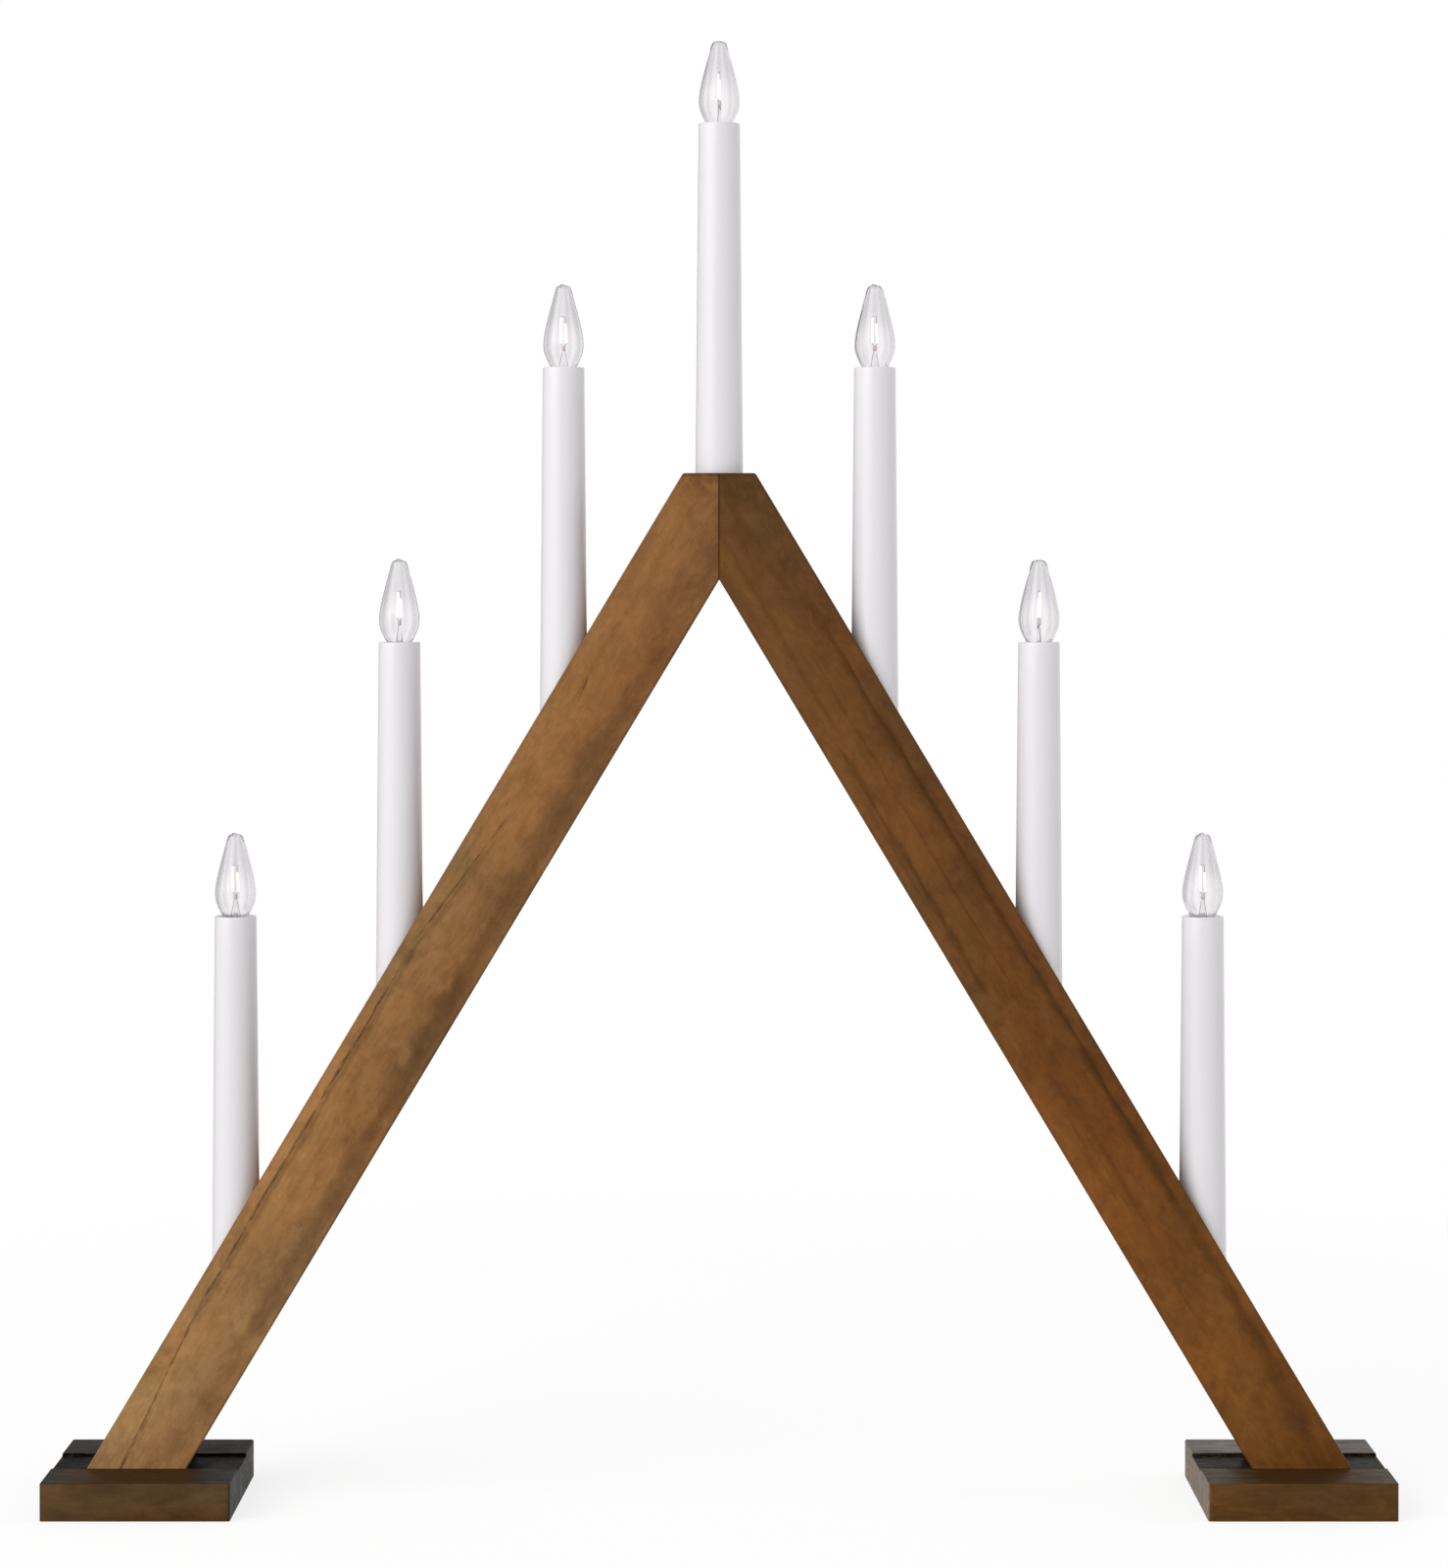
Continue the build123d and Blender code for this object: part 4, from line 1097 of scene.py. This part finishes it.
def direct_share(tree):
    """1 for rays that see the background itself: from the camera, a reflection or through glass."""
    path = make(tree, "ShaderNodeLightPath").outputs
    seen = calc(tree, "MAXIMUM", path["Is Camera Ray"], path["Is Glossy Ray"])
    return calc(tree, "MAXIMUM", seen, path["Is Transmission Ray"])


def mirrored_share(tree):
    """1 for rays that were mirrored by a glossy surface, and not for those that went through glass."""
    path = make(tree, "ShaderNodeLightPath").outputs
    not_through = calc(tree, "SUBTRACT", 1.0, path["Is Transmission Ray"])
    return calc(tree, "MULTIPLY", path["Is Glossy Ray"], not_through)


def dark_screen(tree, toward):
    """What is left of the white towards a dark screen, left behind the arch, which only gloss shows."""
    covered = spread(tree, share_along(tree, toward, SCREEN_DIRECTION), 0.52, 0.92)
    dark = calc(tree, "MULTIPLY", covered, mirrored_share(tree))
    return calc(tree, "MULTIPLY_ADD", dark, -0.95, 1.0)


def floor_material():
    """White floor that keeps a soft shadow near the arch and is plain white further out."""
    material = bpy.data.materials.new("studio_floor")
    material.use_nodes = True
    tree = material.node_tree
    tree.nodes.clear()
    bounce = make(tree, "ShaderNodeBsdfDiffuse", {"Color": (0.8, 0.8, 0.8, 1)}).outputs[0]
    shaded = make(tree, "ShaderNodeBsdfDiffuse", {"Color": (0.30, 0.30, 0.30, 1)}).outputs[0]
    lifted = make(tree, "ShaderNodeEmission", {"Color": (1, 1, 1, 1), "Strength": 0.77}).outputs[0]
    place = make(tree, "ShaderNodeTexCoord").outputs["Object"]
    toward = make(tree, "ShaderNodeVectorMath", {0: place}, operation="NORMALIZE").outputs[0]
    level = dark_screen(tree, toward)
    white = make(tree, "ShaderNodeEmission", {"Color": (1, 1, 1, 1), "Strength": level}).outputs[0]
    near = make(tree, "ShaderNodeAddShader", {0: shaded, 1: lifted}).outputs[0]
    far = spread(tree, length_of(tree, place), 0.45, 0.85)
    seen = make(tree, "ShaderNodeMixShader", {0: far, 1: near, 2: white}).outputs[0]
    surface = make(tree, "ShaderNodeMixShader", {0: direct_share(tree), 1: bounce, 2: seen}).outputs[0]
    make(tree, "ShaderNodeOutputMaterial", {"Surface": surface})
    return material


def soft_light(name, place, size, power):
    """Rectangular soft light, aimed at the middle of the arch."""
    start_fresh()
    bpy.ops.object.light_add(type="AREA", location=place)
    light = bpy.context.object
    light.name = name
    light.data.shape = "RECTANGLE"
    light.data.size, light.data.size_y = size
    light.data.energy = power
    light.visible_glossy = light.visible_transmission = False
    aim = ARCH_MIDDLE - light.location
    light.rotation_euler = aim.to_track_quat("-Z", "Y").to_euler()


class CANDLEARCH_OT_stage(bpy.types.Operator):
    """Sets the floor, the soft studio light and the camera"""

    bl_idname = "candle_arch.stage"
    bl_label = "Set the stage"

    def execute(self, context):
        stage = context.scene.candle_stage
        start_fresh()
        bpy.ops.mesh.primitive_plane_add(size=40, location=(0, 0, 0))
        floor = bpy.context.object
        floor.name = "studio_floor"
        floor.data.transform(Matrix.Translation((0, 0, -0.2 * MM)))
        floor.data.materials.append(floor_material())
        world = bpy.data.worlds.new("studio_room")
        context.scene.world = world
        world.use_nodes = True
        tree = world.node_tree
        back = tree.nodes["Background"]
        # Glass shows the white room, and gloss too, but with the key light as a soft bright patch
        toward = make(tree, "ShaderNodeTexCoord").outputs["Generated"]
        bright = spread(tree, share_along(tree, toward, PATCH_DIRECTION), 0.80, 0.99, 1.0, 3.2)
        lit = spread(tree, mirrored_share(tree), 0.0, 1.0, 1.0, bright)
        shown = calc(tree, "MULTIPLY", dark_screen(tree, toward), lit)
        strength = spread(tree, direct_share(tree), 0.0, 1.0, stage.sky_strength, shown)
        tree.links.new(strength, back.inputs["Strength"])
        back.inputs["Color"].default_value = (1, 1, 1, 1)
        soft_light("key_light", (-4.8, -4.4, 3.4), (6.4, 6.0), stage.key_power)
        soft_light("fill_light", (2.6, -0.25, 1.1), (0.5, 0.8), stage.fill_power)
        rotation = (pi / 2 - stage.camera_pitch, 0, 0)
        bpy.ops.object.camera_add(location=stage.camera_place, rotation=rotation)
        camera = bpy.context.object
        camera.name = "studio_camera"
        camera.data.lens = stage.focal_length
        camera.data.sensor_width = 36.0
        camera.data.shift_y = stage.frame_shift
        camera.data.clip_end = 100
        context.scene.camera = camera
        context.scene.view_settings.view_transform = "Standard"
        return {"FINISHED"}


class VIEW3D_PT_candle_arch(bpy.types.Panel):
    """Sidebar panel with the settings and the steps of the finish"""

    bl_label = "Candle arch"
    bl_space_type = "VIEW_3D"
    bl_region_type = "UI"
    bl_category = "Candle arch"

    def draw(self, context):
        for settings in SETTINGS:
            group = getattr(context.scene, settings)
            box = self.layout.box()
            for key in group.bl_rna.properties.keys():
                if key not in ("rna_type", "name"):
                    box.prop(group, key)
        for step in STEPS:
            self.layout.operator(step.bl_idname)


STEPS = (
    CANDLEARCH_OT_timber,
    CANDLEARCH_OT_sleeves,
    CANDLEARCH_OT_lampholders,
    CANDLEARCH_OT_bulbs,
    CANDLEARCH_OT_fittings,
    CANDLEARCH_OT_stage,
)
SETTINGS = {
    "candle_timber": TimberSettings,
    "candle_candles": CandleSettings,
    "candle_stage": StageSettings,
}
CLASSES = (*SETTINGS.values(), *STEPS, VIEW3D_PT_candle_arch)


def register():
    """Registers the classes and hangs the settings on the scene."""
    for cls in CLASSES:
        bpy.utils.register_class(cls)
    for name, settings in SETTINGS.items():
        setattr(bpy.types.Scene, name, bpy.props.PointerProperty(type=settings))


def unregister():
    """Takes the settings off the scene and unregisters the classes."""
    for name in SETTINGS:
        delattr(bpy.types.Scene, name)
    for cls in reversed(CLASSES):
        bpy.utils.unregister_class(cls)


def main():
    """Runs every step in order."""
    register()
    bpy.ops.candle_arch.timber()
    bpy.ops.candle_arch.sleeves()
    bpy.ops.candle_arch.lampholders()
    bpy.ops.candle_arch.bulbs()
    bpy.ops.candle_arch.fittings()
    bpy.ops.candle_arch.stage()
    bpy.context.view_layer.update()


if __name__ == "__main__":
    main()
